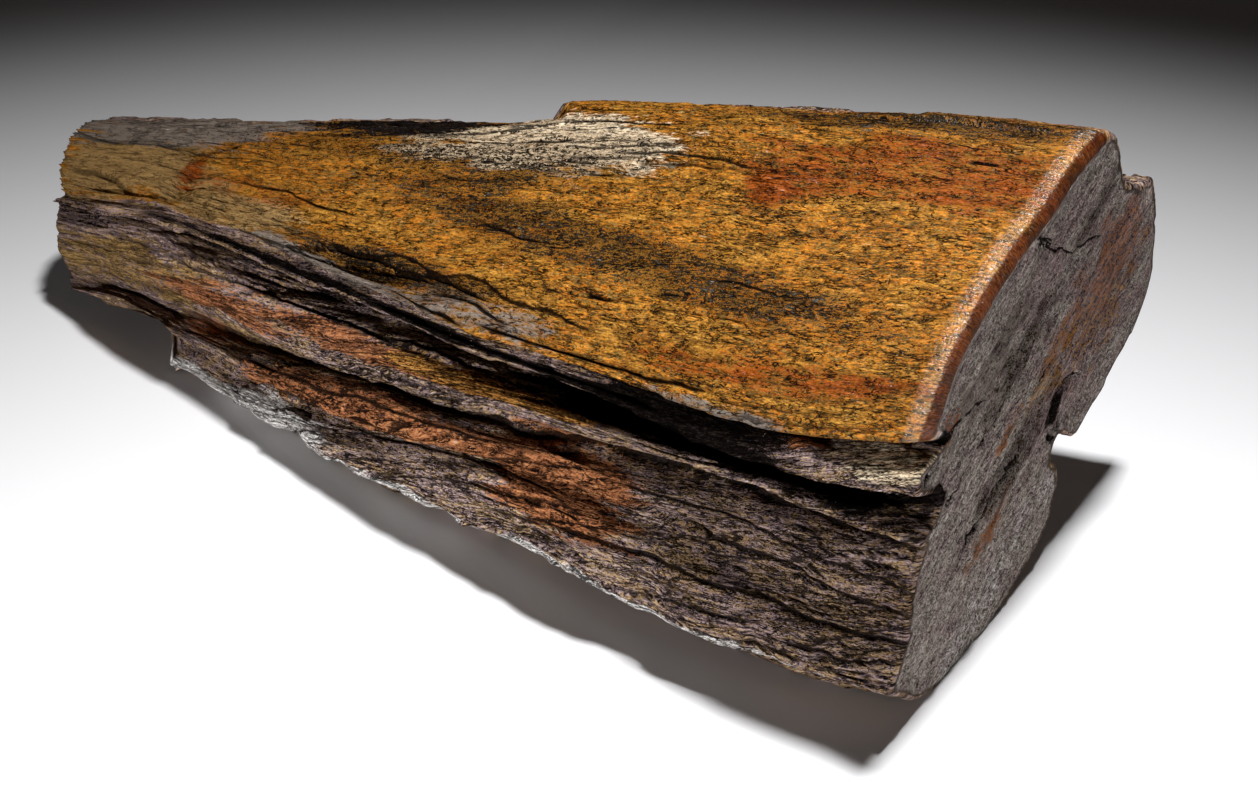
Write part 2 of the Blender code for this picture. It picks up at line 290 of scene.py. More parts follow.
CRACKS: tuple[Crack, ...] = (
    # The upper face.
    Crack(((5, 7), (23, 12), (40, 15), (64, 17)), 0.5, 1.2),
    Crack(((32, 32), (55, 31), (73, 35), (98, 35)), 0.6, 1.4),
    Crack(((-106, 66), (-94, 68), (-80, 67), (-62, 74), (-36, 77)), 0.6, 1.4),
    Crack(((-5, 67), (19, 72), (38, 73)), 0.6, 1.4),
    Crack(((86, 77), (102, 79), (134, 81)), 0.5, 1.2),
    # The block at the small end: its upper and lower edges.
    Crack(((-190, 20), (-158, 32), (-146, 33), (-122, 45), (-112, 34), (-102, 10)),
          0.8, 1.4, -2.2, 30),
    Crack(((-178, 72), (-158, 85), (-144, 97), (-130, 109), (-114, 114)), 0.9, 2.4, 1.8, 16),
    # The edge where the upper face has split off, and the plates below it.
    Crack(((-96, 122), (-76, 119), (-60, 118), (-53, 110), (-46, 98), (-17, 95), (13, 96),
           (40, 101), (70, 104)), 0.5, 0.8, 1.0, 16),
    Crack(((-80, 122), (-58, 121), (-50, 112), (-42, 102), (-14, 98), (8, 100), (30, 104)),
          0.5, 1.6, 0.8, 12),
    Crack(((-64, 123), (-46, 114), (-36, 106), (-10, 102), (6, 104)), 0.5, 1.8, 0.7, 10),
    Crack(((-52, 117), (-34, 111), (-8, 107)), 0.5, 1.6),
    Crack(((-20, 116), (-4, 118), (8, 118), (28, 119)), 0.7, 2.0, 1.4, 8),
    Crack(((-2, 109), (18, 108), (40, 112)), 0.6, 2.0),
    Crack(((20, 117), (53, 117), (72, 115), (116, 114)), 0.9, 2.2),
    Crack(((-136, 152), (-75, 156), (-35, 156), (0, 154), (30, 152), (96, 153)), 1.7, 3.0),
    # The grooves of the front.
    Crack(((-176, 197), (-133, 199), (-95, 199), (-55, 199), (0, 199), (45, 199), (190, 200)),
          1.3, 2.6),
    Crack(((-150, 190), (-100, 191), (-40, 189), (20, 187), (60, 186)), 0.7, 1.6),
    Crack(((-160, 197), (-100, 197), (-40, 197), (10, 196)), 0.6, 1.3),
    Crack(((-66, 219), (-29, 218), (6, 218)), 0.8, 2.0),
    Crack(((-110, 209), (-60, 208), (-10, 210), (40, 209)), 0.6, 1.3),
    Crack(((-30, 229), (20, 228), (70, 229)), 0.6, 1.4),
    Crack(((80, 211), (120, 212), (149, 213), (190, 214)), 0.7, 1.8),
    Crack(((96, 224), (136, 225), (154, 224), (190, 223)), 0.7, 2.0),
    Crack(((50, 238), (95, 236), (134, 235), (151, 236), (190, 233)), 0.8, 2.2),
    Crack(((92, 243), (121, 242), (140, 241)), 0.6, 1.5),
    Crack(((92, 247), (127, 248), (148, 248)), 0.6, 1.5),
    Crack(((140, 243), (164, 242), (190, 238)), 0.6, 1.6),
)

FACE_CRACKS: tuple[Crack, ...] = (
    Crack(((-24, 157), (-21, 151), (-17, 149), (-9, 142), (-3, 139)), 0.7, 2.0),
    Crack(((-12, 142), (16, 126), (37, 121)), 0.5, 0.6),
    Crack(((-40, 103), (-62, 106), (-78, 109)), 0.6, 0.9),
    Crack(((-58, 105), (-70, 100), (-77, 92)), 0.6, 0.9),
    Crack(((-3, 68), (-23, 59), (-40, 51)), 0.8, 1.4),
    Crack(((36, 69), (25, 73), (19, 67), (21, 54), (27, 46)), 1.2, 3.4),
    Crack(((-10, 100), (-44, 84), (-66, 74)), 0.5, 0.7),
    Crack(((20, 92), (-12, 78), (-50, 58)), 0.5, 0.7),
)


@dataclass(frozen=True)
class Patch:
    """A soft-edged stain on the skin, or a soft-edged patch of painted shade.

    Attributes:
        stain: its colour.
        x: where its middle lies along the log.
        girth: where its middle lies round the log, measured at the big end.
        reach_x: half its length.
        reach_girth: half its width.
        strength: how strongly it covers, from 0 to 1.
        slant: how far it shifts round the log for each mm along it.
    """

    stain: Stain
    x: float
    girth: float
    reach_x: float
    reach_girth: float
    strength: float = 1.0
    slant: float = 0.0


PATCHES: tuple[Patch, ...] = (
    # The upper face.
    Patch(Stain.ASH, 12, 26, 60, 14, 1.0, 0.1),
    Patch(Stain.SLAB, -140, 6, 60, 12, 1.0),
    Patch(Stain.SMOOTH, -140, 6, 60, 12, 0.8),
    Patch(Stain.SOOT, -46, 2, 42, 10, 0.8),
    Patch(Stain.SPECKLE, 0, 49, 15, 4, 1.0),
    Patch(Stain.SPECKLE, 60, 73, 120, 10, 0.9, 0.17),
    Patch(Stain.SPECKLE, 130, 0, 70, 9, 1.0),
    Patch(Stain.SPECKLE, 0, 36, 56, 12, 0.8),
    Patch(Stain.SPECKLE, -70, 26, 50, 10, 0.5),
    Patch(Stain.RED, 140, 30, 60, 16, 0.6),
    Patch(Stain.RED, 97, 45, 9, 8, 1.0),
    Patch(Stain.RED, -119, 58, 4, 8, 0.6),
    Patch(Stain.RED, 130, 106, 60, 6, 0.6),
    Patch(Stain.RED, -96, 74, 34, 6, 0.35),
    Patch(Stain.TAN, -148, 60, 34, 22, 1.0),
    Patch(Stain.HIDE, -156, 58, 20, 10, 0.5),
    Patch(Stain.TAN, -96, 98, 40, 12, 0.9),
    # The plates below the split edge.
    Patch(Stain.SMOOTH, -38, 125, 42, 8, 1.0),
    Patch(Stain.SLAB, -38, 123, 46, 8, 1.0),
    Patch(Stain.SMOOTH, 14, 112, 30, 8, 0.8),
    Patch(Stain.SLAB, 16, 111, 36, 8, 0.6),
    Patch(Stain.SPECKLE, -20, 102, 50, 6, 1.0),
    # Painted shade: the soot patches here darken the deep groove, the open crack under the lip and
    # the recess below the ledge, where shade falls.
    Patch(Stain.SOOT, -20, 154, 120, 3.0, 1.0),
    Patch(Stain.SOOT, 104, 138, 48, 9, 0.9),
    Patch(Stain.RUST, 143, 146, 7, 5, 1.0),
    Patch(Stain.SOOT, -60, 178, 110, 4, 0.6),
    Patch(Stain.SOOT, 118, 180, 84, 18, 1.0),
    Patch(Stain.SOOT, 172, 134, 32, 5.5, 1.0),
    Patch(Stain.ASH, 172, 152, 24, 8, 0.9),
    Patch(Stain.SOOT, 98, 158, 50, 11, 0.9),
    Patch(Stain.SLAB, 112, 119, 26, 3, 0.8),
    # The front.
    Patch(Stain.TAN, -130, 195, 60, 12, 0.8),
    Patch(Stain.TAN, -60, 200, 60, 8, 0.6),
    Patch(Stain.TAN, 130, 232, 60, 10, 0.2),
    Patch(Stain.RUST, -88, 195, 40, 7, 0.7),
    Patch(Stain.RUST, -24, 193, 60, 7, 0.7),
    Patch(Stain.GOLD, 38, 192, 52, 7, 0.9),
    Patch(Stain.RUST, -14, 212, 62, 8, 0.8),
    Patch(Stain.RUST, 62, 216, 36, 16, 0.9),
    Patch(Stain.RUST, 66, 232, 28, 10, 0.8),
    Patch(Stain.RUST, -96, 202, 22, 6, 0.6),
    Patch(Stain.SPECKLE, 140, 225, 76, 30, 0.5),
    Patch(Stain.SPECKLE, -40, 228, 70, 12, 0.5),
    Patch(Stain.SPECKLE, -20, 205, 110, 5, 0.6),
    # Painted shade: the soot patch here darkens the groove near the small end.
    Patch(Stain.SOOT, -156, 180, 30, 10, 0.4),
    Patch(Stain.BLEACH, -66, 244, 46, 13, 1.0),
    Patch(Stain.BLEACH, -104, 238, 18, 8, 1.0),
    Patch(Stain.BLEACH, -14, 249, 44, 7, 1.0),
    Patch(Stain.BLEACH, 70, 252, 130, 4, 1.0),
)


@dataclass(frozen=True)
class FacePatch:
    """A soft-edged stain on the broken face of the big end, or a patch of painted shade in its deep
    crack.

    Attributes:
        stain: its colour.
        y: where its middle lies across the log.
        z: how high its middle lies.
        reach_along: half its length along the laminations.
        reach_across: half its width across them.
        strength: how strongly it covers, from 0 to 1.
    """

    stain: Stain
    y: float
    z: float
    reach_along: float
    reach_across: float
    strength: float = 1.0


FACE_PATCHES: tuple[FacePatch, ...] = (
    FacePatch(Stain.OCHRE, 48, 96, 34, 26, 0.35),
    FacePatch(Stain.OCHRE, 8, 84, 24, 14, 0.35),
    FacePatch(Stain.HIDE, 40, 92, 50, 34, 0.9),
    FacePatch(Stain.HIDE, -4, 128, 26, 12, 0.6),
    FacePatch(Stain.RUST, 50, 104, 26, 20, 0.4),
    FacePatch(Stain.RUST, 14, 92, 16, 8, 0.3),
    FacePatch(Stain.RUST, -28, 45, 18, 12, 0.6),
    FacePatch(Stain.SLAB, -38, 112, 26, 12, 0.5),
    FacePatch(Stain.RUST, -18, 76, 9, 4, 0.6),
    FacePatch(Stain.SPECKLE, -14, 104, 30, 9, 0.9),
    FacePatch(Stain.SPECKLE, 26, 130, 24, 6, 0.8),
    # Painted shade: this soot patch darkens the deep crack of the end face.
    FacePatch(Stain.SOOT, 22, 62, 7, 9, 0.8),
    FacePatch(Stain.SPECKLE, -14, 62, 36, 10, 0.8),
    FacePatch(Stain.RED, -66, 106, 10, 5, 0.5),
    FacePatch(Stain.BLEACH, -30, 10, 60, 12, 0.35),
    FacePatch(Stain.BLEACH, 28, 32, 12, 9, 0.35),
)


@dataclass(frozen=True)
class Pattern:
    """Smooth noise drawn out along the grain, worked out for whole arrays of points.

    Attributes:
        seed: picks the pattern.
        along: the size of its cells along the grain, in mm.
        across: their size across it.
        octaves: how many times it is repeated, each about half the size of the last.
        height: how far it rises and sinks.
    """

    seed: int
    along: float = 1.0
    across: float = 1.0
    octaves: int = 1
    height: float = 1.0

    def reseeded(self, more: int) -> "Pattern":
        """Return the same pattern with another seed."""
        return replace(self, seed=self.seed + more)

    def corner(self, cells: np.ndarray) -> np.ndarray:
        """Return a repeatable number from -1 to 1 for each lattice corner.

        Args:
            cells: whole numbers, three for each corner.

        Returns:
            One number for each corner.
        """
        mixed = self.seed * SEED_PRIME
        for axis, prime in enumerate(LATTICE_PRIMES):
            mixed = mixed ^ (cells[..., axis] * prime)
        mixed = mixed & WORD
        for shift, prime in SCRAMBLES:
            mixed = ((mixed ^ (mixed >> shift)) * prime) & WORD
        mixed = mixed ^ (mixed >> LAST_SHIFT)
        return (mixed & HALF_WORD) / (HALF_WORD / 2) - 1.0

    def single(self, points: np.ndarray) -> np.ndarray:
        """Return one octave of the noise at points given in cells.

        Args:
            points: three numbers for each point.

        Returns:
            One number for each point.
        """
        cells = np.floor(points).astype(np.int64)
        part = points - cells
        fade = part ** 3 * (part * (part * 6 - 15) + 10)
        total = np.zeros(points.shape[:-1])
        for corner in np.ndindex(2, 2, 2):
            offset = np.array(corner)
            weight = np.prod(np.where(offset, fade, 1 - fade), axis=-1)
            total += weight * self.corner(cells + offset)
        return total

    def at(self, points: np.ndarray) -> np.ndarray:
        """Return the pattern at points.

        Args:
            points: an array whose last axis is a grain place in mm.

        Returns:
            One number for each point, from about its height below zero to it above.
        """
        scaled = points / np.array((self.along, self.across, self.across))
        total = self.single(scaled)
        weight, reach = 1.0, 1.0
        for _ in range(self.octaves - 1):
            scaled = scaled * OCTAVE_SCALE + OCTAVE_SHIFT
            weight *= OCTAVE_WEIGHT
            reach += weight
            total = total + weight * self.single(scaled)
        return self.height * (total / reach)


def smoothstep(low: float, high: float, value: np.ndarray) -> np.ndarray:
    """Return a smooth change from 0 at low to 1 at high, which may be the smaller."""
    part = np.clip((value - low) / (high - low), 0.0, 1.0)
    return part * part * (3 - 2 * part)


def hump(offset: np.ndarray, reach: float) -> np.ndarray:
    """Return a smooth hump of height one that ends at its reach."""
    return np.clip(1.0 - (offset / reach) ** 2, 0.0, None) ** 2


def terrace(value: np.ndarray, sharpness: float) -> np.ndarray:
    """Turn a smooth rise into flat treads with steep edges between them."""
    floor = np.floor(value)
    return floor + smoothstep(1 - sharpness, 1.0, value - floor)


def unit(ways: np.ndarray) -> np.ndarray:
    """Return directions of length one."""
    return ways / (np.linalg.norm(ways, axis=-1, keepdims=True) + TINY)


def noise_at(spot: Vector, per_metre: Sequence[float]) -> float:
    """Return smooth noise at a spot, with its own number of waves along each axis."""
    return noise.noise(Vector([place * count for place, count in zip(spot, per_metre)]))


def distances(spots: np.ndarray, corner: np.ndarray) -> np.ndarray:
    """Return how far each spot lies from a corner."""
    return np.hypot(*(spots - corner).T)


def spline(values: np.ndarray, shares: np.ndarray) -> np.ndarray:
    """Read smooth curves through one value per station.

    Args:
        values: an array whose axis 1 runs over the stations.
        shares: the shares of the length to read at.

    Returns:
        The array with axis 1 running over the shares.
    """
    stops = np.array(STATIONS)
    index = np.clip(np.searchsorted(stops, shares, side="right") - 1, 0, len(stops) - 2)
    before = np.maximum(index - 1, 0)
    after = np.minimum(index + 2, len(stops) - 1)
    span = (stops[index + 1] - stops[index])[None, :, None]
    slope_in = ((values[:, index + 1] - values[:, before])
                / (stops[index + 1] - stops[before])[None, :, None])
    slope_out = ((values[:, after] - values[:, index])
                 / (stops[after] - stops[index])[None, :, None])
    part = (shares - stops[index])[None, :, None] / span
    rise = values[:, index + 1] - values[:, index]
    enter = slope_in * span
    leave = slope_out * span
    return (values[:, index] + enter * part + (3 * rise - 2 * enter - leave) * part ** 2
            + (enter + leave - 2 * rise) * part ** 3)


@dataclass(frozen=True)
class Weathering:
    """The sizes and patterns of the skin's relief. Heights and lengths are in mm.

    Attributes:
        ridge_height: height of the ridges that run the length of the log.
        ridges_per_metre: how many lie in a metre along x, y and z.
        plate_height: height of one level of the split plates.
        plates_per_metre: how many lie in a metre along x, y and z.
        plate_levels: how many levels they have each way.
        lump_height: height of the lumps.
        lumps_per_metre: how many lie in a metre.
        least_solid: the share of these that even the smoothest line keeps over its own.
        foot_rag, plate_rag: the ragged borders of the broken foot and top plate.
        plate_break_run: from where to where, round that border, the step falls.
        sheet_width: width of the thin sheets.
        sheet_sway, sheet_wave: how their edges wander and waver, in sheets.
        sheet_length, sheet_shift, sheet_spots: how their thickness changes along them.
        sheet_least: thickness of the thinnest, as a share.
        sheet_edge: share of the width after which a sheet ends in its sharp edge.
        sheet_height: how far a sheet stands out.
        wide, wide_height: the wide folds of the weathered skin.
        narrow, narrow_height: its narrow folds.
        fibre, fibre_height: its fibres.
        fibre_height_sealed: how high these stand on the sealed face.
        seam, seam_reach, seam_depth: the fine seams along the grain.
        seam_depth_sealed: how deep these are in the sealed face.
        seam_patches, seam_patch_reach: where the seams are open.
        sunk: how far the weathered skin lies below the sealed one.
        pit, pit_reach, pit_depth: the pits of the sealed face.
        crack_wander: how the named cracks wander.
        crack_jog, crack_jog_height, crack_jog_levels: how they jump aside.
        crack_taper: length over which they run out at each end.
        crack_width: least width and how much it varies, as shares.
        crack_width_shift: how many rings the width lags behind the wandering.
        crack_depth: share of the full depth that they are cut to.
        crack_shade_reach: from where to where, beside a crack, its painted shade ends.
        crack_seen: the least share of a crack that still carries painted shade.
        no_rift: the offset where no crack is near, in widths.
        step_hold: the share of a step's fade over which it keeps its full height.
        stain_broad, stain_fine: the raggedness of a stain's border.
        stain_border: from where to where a stain's cover rises.
    """

    ridge_height: float = 2.6
    ridges_per_metre: tuple[float, float, float] = (9, 70, 70)
    plate_height: float = 1.5
    plates_per_metre: tuple[float, float, float] = (14, 34, 34)
    plate_levels: float = 3.2
    lump_height: float = 2.0
    lumps_per_metre: float = 24
    least_solid: float = 0.1
    foot_rag: Pattern = Pattern(23, 4, 4, 2, 2.0)
    plate_rag: Pattern = Pattern(25, 5, 5, 2, 1.5)
    plate_break_run: Span = (-1.6, 0.4)
    sheet_width: float = 5.5
    sheet_sway: Pattern = Pattern(9, 80, 12, 2, 1.3)
    sheet_wave: Pattern = Pattern(10, 16, 5, 2, 0.3)
    sheet_length: float = 45
    sheet_shift: float = 7.3
    sheet_spots: Pattern = Pattern(17)
    sheet_least: float = 0.25
    sheet_edge: float = 0.86
    sheet_height: float = 1.3
    wide: Pattern = Pattern(3, 60, 7, 3)
    wide_height: float = 0.4
    narrow: Pattern = Pattern(5, 26, 3.0, 3)
    narrow_height: float = 0.35
    fibre: Pattern = Pattern(7, 9, 1.2, 2)
    fibre_height: float = 0.3
    fibre_height_sealed: float = 0.22
    seam: Pattern = Pattern(11, 48, 5.0, 3)
    seam_reach: Span = (0.02, 0.10)
    seam_depth: float = 1.3
    seam_depth_sealed: float = 0.6
    seam_patches: Pattern = Pattern(13, 55, 16)
    seam_patch_reach: Span = (0.0, 0.3)
    sunk: float = 1.2
    pit: Pattern = Pattern(15, 15, 1.7, 2)
    pit_reach: Span = (0.3, 0.55)
    pit_depth: float = 0.5
    crack_wander: Pattern = Pattern(60, 12, 1, 3)
    crack_jog: Pattern = Pattern(90, 15, 1)
    crack_jog_height: float = 1.3
    crack_jog_levels: float = 2.5
    crack_taper: float = 14
    crack_width: Span = (0.8, 0.7)
    crack_width_shift: int = 9
    crack_depth: float = 0.8
    crack_shade_reach: Span = (4.0, 2.5)
    crack_seen: float = 0.02
    no_rift: float = 9.0
    step_hold: float = 0.3
    stain_broad: Pattern = Pattern(31, 22, 4, 2, 0.35)
    stain_fine: Pattern = Pattern(33, 7, 1.4, 2, 0.25)
    stain_border: Span = (-0.2, 0.5)


@dataclass
class Skin:
    """The loft of the log's side: rings of points, from the small end to the big end.

    Attributes:
        points_round: about how many points a ring has.
        small_end_rings: rings in the first few mm, where the end is ragged.
        middle_rings: rings along the rest.
        big_end_rings: rings in the last few mm, where the rim is rounded.
        small_end_share: share of the length that the first rings take.
        big_end_share: share of it that the last rings take.
        big_end_crowding: how much closer those stand towards the rim.
        teeth: the teeth of the small end.
        teeth_share: share of the length over which they die away.
        rim_radius_sealed: radius of the rolled edge of the upper face.
        rim_radius: radius of the rest of the big end's rim.
        rim_radius_lobe: radius of the rim of the lower lobe.
        plate_break_x: where the top plate has broken away, at the back edge.
        plate_slant: how far that break leans towards the big end, for each line.
        plate_drop: how deep the break is.
        plate_fades_over: how far from the break the skin is back at its own level.
        plate_at_crest: the share of that depth at the crest.
        plate_front_lines: how many lines past the crest it reaches at the middle.
        plate_front_widens: how many more, for each mm towards the small end.
        foot_break_x: where the foot has broken away.
        foot_break_run: from where to where, round that, the foot is gone.
        run_out: how much finer the grain is at the small end.
        bedding_tilt: how the laminations lean.
        evened_over: how many points each way the direction out of the skin is evened.
        ash_weather: how much rougher the ashen skin is.
        smooth_weather: how much smoother the smooth skin is.
        rim_calm: the share of the fine relief that is left at the big end's rim.
        rim_calm_reach: from where to where, before the rim, it grows to the whole.
        hollow: how far below its surroundings a hollow is wholly dark with painted shade.
        hollow_reach: over how many points round and along those are evened.
        calm_reach: from where to where the log grows calm towards the small end.
        roll_reach: from where to where the big end's edge grows glassy.
        roll_sealed: how sealed a line is where that edge begins and is complete.
        roll_smooth: the share of the fine relief that the roll takes away.
        end_height: the share of the relief that is left at the very small end.
        end_reach: share of the length over which it grows to the whole.
        pivot: the point that the log leans away from.
        reach: how much further from it each station lies than it is drawn.
        centring: the last shift, which centres the log on the origin.
        wear: the sizes of its relief.
    """

    points_round: int = 560
    small_end_rings: int = 6
    middle_rings: int = 130
    big_end_rings: int = 16
    small_end_share: float = 0.02
    big_end_share: float = 0.035
    big_end_crowding: float = 1.6
    teeth: Pattern = Pattern(21, 3, 3, 3, 2.2)
    teeth_share: float = 0.05
    rim_radius_sealed: float = 5.0
    rim_radius: float = 1.6
    rim_radius_lobe: float = 4.0
    plate_break_x: float = -2.0
    plate_slant: float = 11.0
    plate_drop: float = 7.0
    plate_fades_over: float = 125.0
    plate_at_crest: float = 0.8
    plate_front_lines: float = 0.3
    plate_front_widens: float = 0.009
    foot_break_x: float = -114.0
    foot_break_run: Span = (-3.0, 2.0)
    run_out: float = 0.38
    bedding_tilt: float = math.radians(27)
    evened_over: int = 8
    ash_weather: float = 0.25
    smooth_weather: float = 0.75
    rim_calm: float = 0.3
    rim_calm_reach: Span = (1.0, 9.0)
    hollow: float = 0.9
    hollow_reach: tuple[int, int] = (4, 1)
    calm_reach: Span = (-30.0, -150.0)
    roll_reach: Span = (12.0, 1.0)
    roll_sealed: Span = (0.1, 0.7)
    roll_smooth: float = 0.8
    end_height: float = 0.25
    end_reach: float = 0.07
    pivot: tuple[float, float, float] = (375, -512, 454)
    reach: tuple[float, ...] = (0.085, 0.065, 0.042, 0.02, 0.0, 0.0)
    centring: tuple[float, float, float] = (22.8, -1.6, 0)
    wear: Weathering = Weathering()

    def lay_out(self) -> None:
        """Place every point of the loft, before any relief."""
        big = np.array([LINES[name].places[-1] for name in NAMES], float)
        middle = np.array([LINES[name].places[MIDDLE_STATION] for name in NAMES], float)
        gaps = np.linalg.norm(np.roll(middle, -1, axis=0) - middle, axis=1)
        girths = np.linalg.norm(np.roll(big, -1, axis=0) - big, axis=1)
        start = np.concatenate(([0.0], np.cumsum(girths)))
        wanted = gaps * np.array([LINES[name].seen for name in NAMES])
        counts = np.maximum(2, np.round(self.points_round * wanted / wanted.sum())).astype(int)
        self.gap = np.repeat(np.arange(len(NAMES)), counts)
        self.blend = np.concatenate([np.arange(c) / c for c in counts])
        self.place = self.gap + self.blend
        self.girth = start[self.gap] + self.blend * girths[self.gap]
        self.girth_total = start[-1]
        self.shares = np.unique(np.concatenate((
            np.linspace(0.0, self.small_end_share, self.small_end_rings),
            np.linspace(self.small_end_share, 1.0 - self.big_end_share, self.middle_rings),
            1.0 - self.big_end_share
            * np.linspace(1.0, 0.0, self.big_end_rings) ** self.big_end_crowding)))
        short = np.array([LINES[name].short_by for name in NAMES])
        inset = self.round_mix(short)
        self.x = (-HALF_LENGTH + self.shares[:, None] * LENGTH
                  + inset[None, :] * (1 - self.shares[:, None]))
        toothed = (1 - smoothstep(0.0, self.teeth_share, self.shares))[:, None]
        self.x += self.round_rag(self.teeth) * toothed
        whole = self.rings(self.shares)
        steps = np.linalg.norm(np.roll(whole, -1, axis=1) - whole, axis=-1)
        self.around = steps.sum(axis=1)
        self.arc = np.cumsum(steps, axis=1) - steps
        self.flat = whole + self.foot_break()

    def round_rag(self, pattern: Pattern) -> np.ndarray:
        """Return a pattern round the log, the same for every ring."""
        return pattern.at(np.column_stack((self.girth,) * 3))[None, :]

    def round_mix(self, values: np.ndarray) -> np.ndarray:
        """Blend one value per line into one value per point of the ring."""
        following = np.roll(values, -1)
        return values[self.gap] * (1 - self.blend) + following[self.gap] * self.blend

    def rings(self, shares: np.ndarray) -> np.ndarray:
        """Return (y, z) of every ring at some shares of the length.

        Args:
            shares: the shares of the length.

        Returns:
            An array of rings by points by (y, z).
        """
        places = np.array([LINES[name].places for name in NAMES], float)
        lines = spline(places, shares)
        ahead = np.roll(lines, -1, axis=0)
        behind = np.roll(lines, 1, axis=0)
        crease = np.array([LINES[name].crease for name in NAMES])[:, None, None]
        leave = unit(np.where(crease, ahead - lines, ahead - behind))
        enter = unit(np.where(crease, lines - behind, ahead - behind))
        following = (self.gap + 1) % len(NAMES)
        reach = np.linalg.norm(ahead - lines, axis=-1, keepdims=True)[self.gap]
        part = self.blend[:, None, None]
        curve = ((2 * part ** 3 - 3 * part ** 2 + 1) * lines[self.gap]
                 + (part ** 3 - 2 * part ** 2 + part) * reach * leave[self.gap]
                 + (3 * part ** 2 - 2 * part ** 3) * lines[following]
                 + (part ** 3 - part ** 2) * reach * enter[following])
        return curve.transpose(1, 0, 2)

    def foot_break(self) -> np.ndarray:
        """Return how far (y, z) the skin lies moved in where the foot has broken away."""
        moves = np.array([FOOT_BREAK.get(name, (0, 0)) for name in NAMES], float)
        moves = np.stack([self.round_mix(moves[:, axis]) for axis in (0, 1)], axis=-1)
        ragged = self.round_rag(self.wear.foot_rag)
        gone = 1 - smoothstep(*self.foot_break_run, self.x - self.foot_break_x + ragged)
        return gone[..., None] * moves[None]

    def settled(self, points: np.ndarray) -> np.ndarray:
        """Return where drawn points of the log really lie, clear of the ground.

        Args:
            points: the drawn points, one row each.

        Returns:
            The real points, one row each.
        """
        shares = (points[:, 0] + HALF_LENGTH) / LENGTH
        reach = spline(np.array(self.reach)[None, :, None], shares)[0]
        pivot = np.array(self.pivot)
        moved = pivot + (points - pivot) * (1 + reach) + np.array(self.centring)
        moved[:, 2] = np.maximum(moved[:, 2], 0.0)
        return moved

    def outward(self) -> np.ndarray:
        """Return the direction out of the skin in each ring's plane, evened a little."""
        along = np.roll(self.flat, -1, axis=1) - np.roll(self.flat, 1, axis=1)
        normal = unit(np.stack((along[..., 1], -along[..., 0]), axis=-1))
        ways = range(-self.evened_over, self.evened_over + 1)
        return unit(sum(np.roll(normal, way, axis=1) for way in ways))

    def solid_relief(self) -> np.ndarray:
        """Return the lumps, ridges, split plates and marks that the solid has too."""
        wear = self.wear
        height = np.zeros(self.x.shape)
        for row, ring in enumerate(self.flat):
            for column, (y, z) in enumerate(ring):
                spot = Vector((self.x[row, column], y, z)) * MM
                ridges = noise_at(spot, wear.ridges_per_metre)
                plates = noise_at(spot, wear.plates_per_metre)
                lumps = noise.noise(spot * wear.lumps_per_metre)
                height[row, column] = (wear.ridge_height * ridges
                                       + wear.plate_height * round(wear.plate_levels * plates)
                                       + wear.lump_height * lumps)
        height *= np.minimum(1.0, self.rough + wear.least_solid)[None, :]
        for mark in MARKS + CHIPS:
            centre = NAMES.index(mark.line) + mark.beyond
            height += (mark.height * hump(self.x - mark.x, mark.reach_along)
                       * hump(self.place - centre, mark.reach_round)[None, :])
        return height - self.broken_plate()

    def broken_plate(self) -> np.ndarray:
        """Return how far the skin is sunk where the top plate has split away."""
        count = len(NAMES)
        beyond = np.where(self.place < count / 2, self.place, self.place - count)[None, :]
        limit = self.plate_front_lines + self.plate_front_widens * np.maximum(0.0, -self.x)
        front = self.plate_at_crest * np.clip(1 - beyond / limit, 0, 1)
        back = np.interp(beyond, (-3, -2, -1, 0), (0, 1, 1, self.plate_at_crest))
        share = np.where(beyond > 0, front, back)
        edge = self.plate_break_x + self.plate_slant * np.maximum(0.0, 1 + beyond)
        edge = edge + self.round_rag(self.wear.plate_rag)
        fade = np.clip(1 - (edge - self.x) / self.plate_fades_over, 0, 1)
        gone = 1 - smoothstep(*self.wear.plate_break_run, self.x - edge)
        return self.plate_drop * share * fade * gone

    def grain_places(self) -> np.ndarray:
        """Return where each point lies in the un-tapered grain, in mm."""
        ring = self.flat[-1] - self.flat[-1].mean(axis=0)
        closed = np.vstack((ring, ring[:1]))
        way = np.append(self.arc[-1] / self.around[-1], 1.0)
        wanted = self.arc / self.around[:, None]
        across = [np.interp(wanted, way, closed[:, axis]) * self.fineness() for axis in (0, 1)]
        return np.stack((self.x, *across), axis=-1)

    def fineness(self) -> np.ndarray:
        """Return how wide the grain is at each ring, as a share of its width at the big end."""
        return 1 - self.run_out * (1 - self.shares[:, None])

    def follow(self, path: Sequence[tuple[float, float]]) -> tuple[np.ndarray, np.ndarray]:
        """Follow a path over the rings.

        Args:
            path: (x, girth) along it, in order of x.

        Returns:
            X where the path crosses each ring, and how far every point lies from it
            round the ring, in mm.
        """
        xs, girths = np.array(path, float).T
        middle = np.full(len(self.shares), girths.mean())
        here = middle
        for _ in range(FOLLOW_ROUNDS):
            here = np.array([np.interp(g, self.girth, row) for g, row in zip(middle, self.x)])
            middle = np.interp(here, xs, girths)
        middle = middle % self.girth_total
        arcs = np.array([np.interp(g, self.girth, row) for g, row in zip(middle, self.arc)])
        half = self.around[:, None] / 2
        return here, (self.arc - arcs[:, None] + half) % (2 * half) - half

    def split_sheets(self) -> np.ndarray:
        """Return thin sheets along the grain with a sharp lower edge, noting where they lie."""
        wear = self.wear
        way = self.arc / self.around[:, None] * self.around[-1] * self.fineness()
        level = (way / wear.sheet_width + wear.sheet_sway.at(self.grain)
                 + wear.sheet_wave.at(self.grain))
        sheet = np.floor(level)
        part = level - sheet
        spots = np.stack((self.x / wear.sheet_length, sheet * wear.sheet_shift, 0 * self.x),
                         axis=-1)
        thick = smoothstep(-0.5, 0.5, wear.sheet_spots.at(spots))
        thickness = wear.sheet_least + (1 - wear.sheet_least) * thick
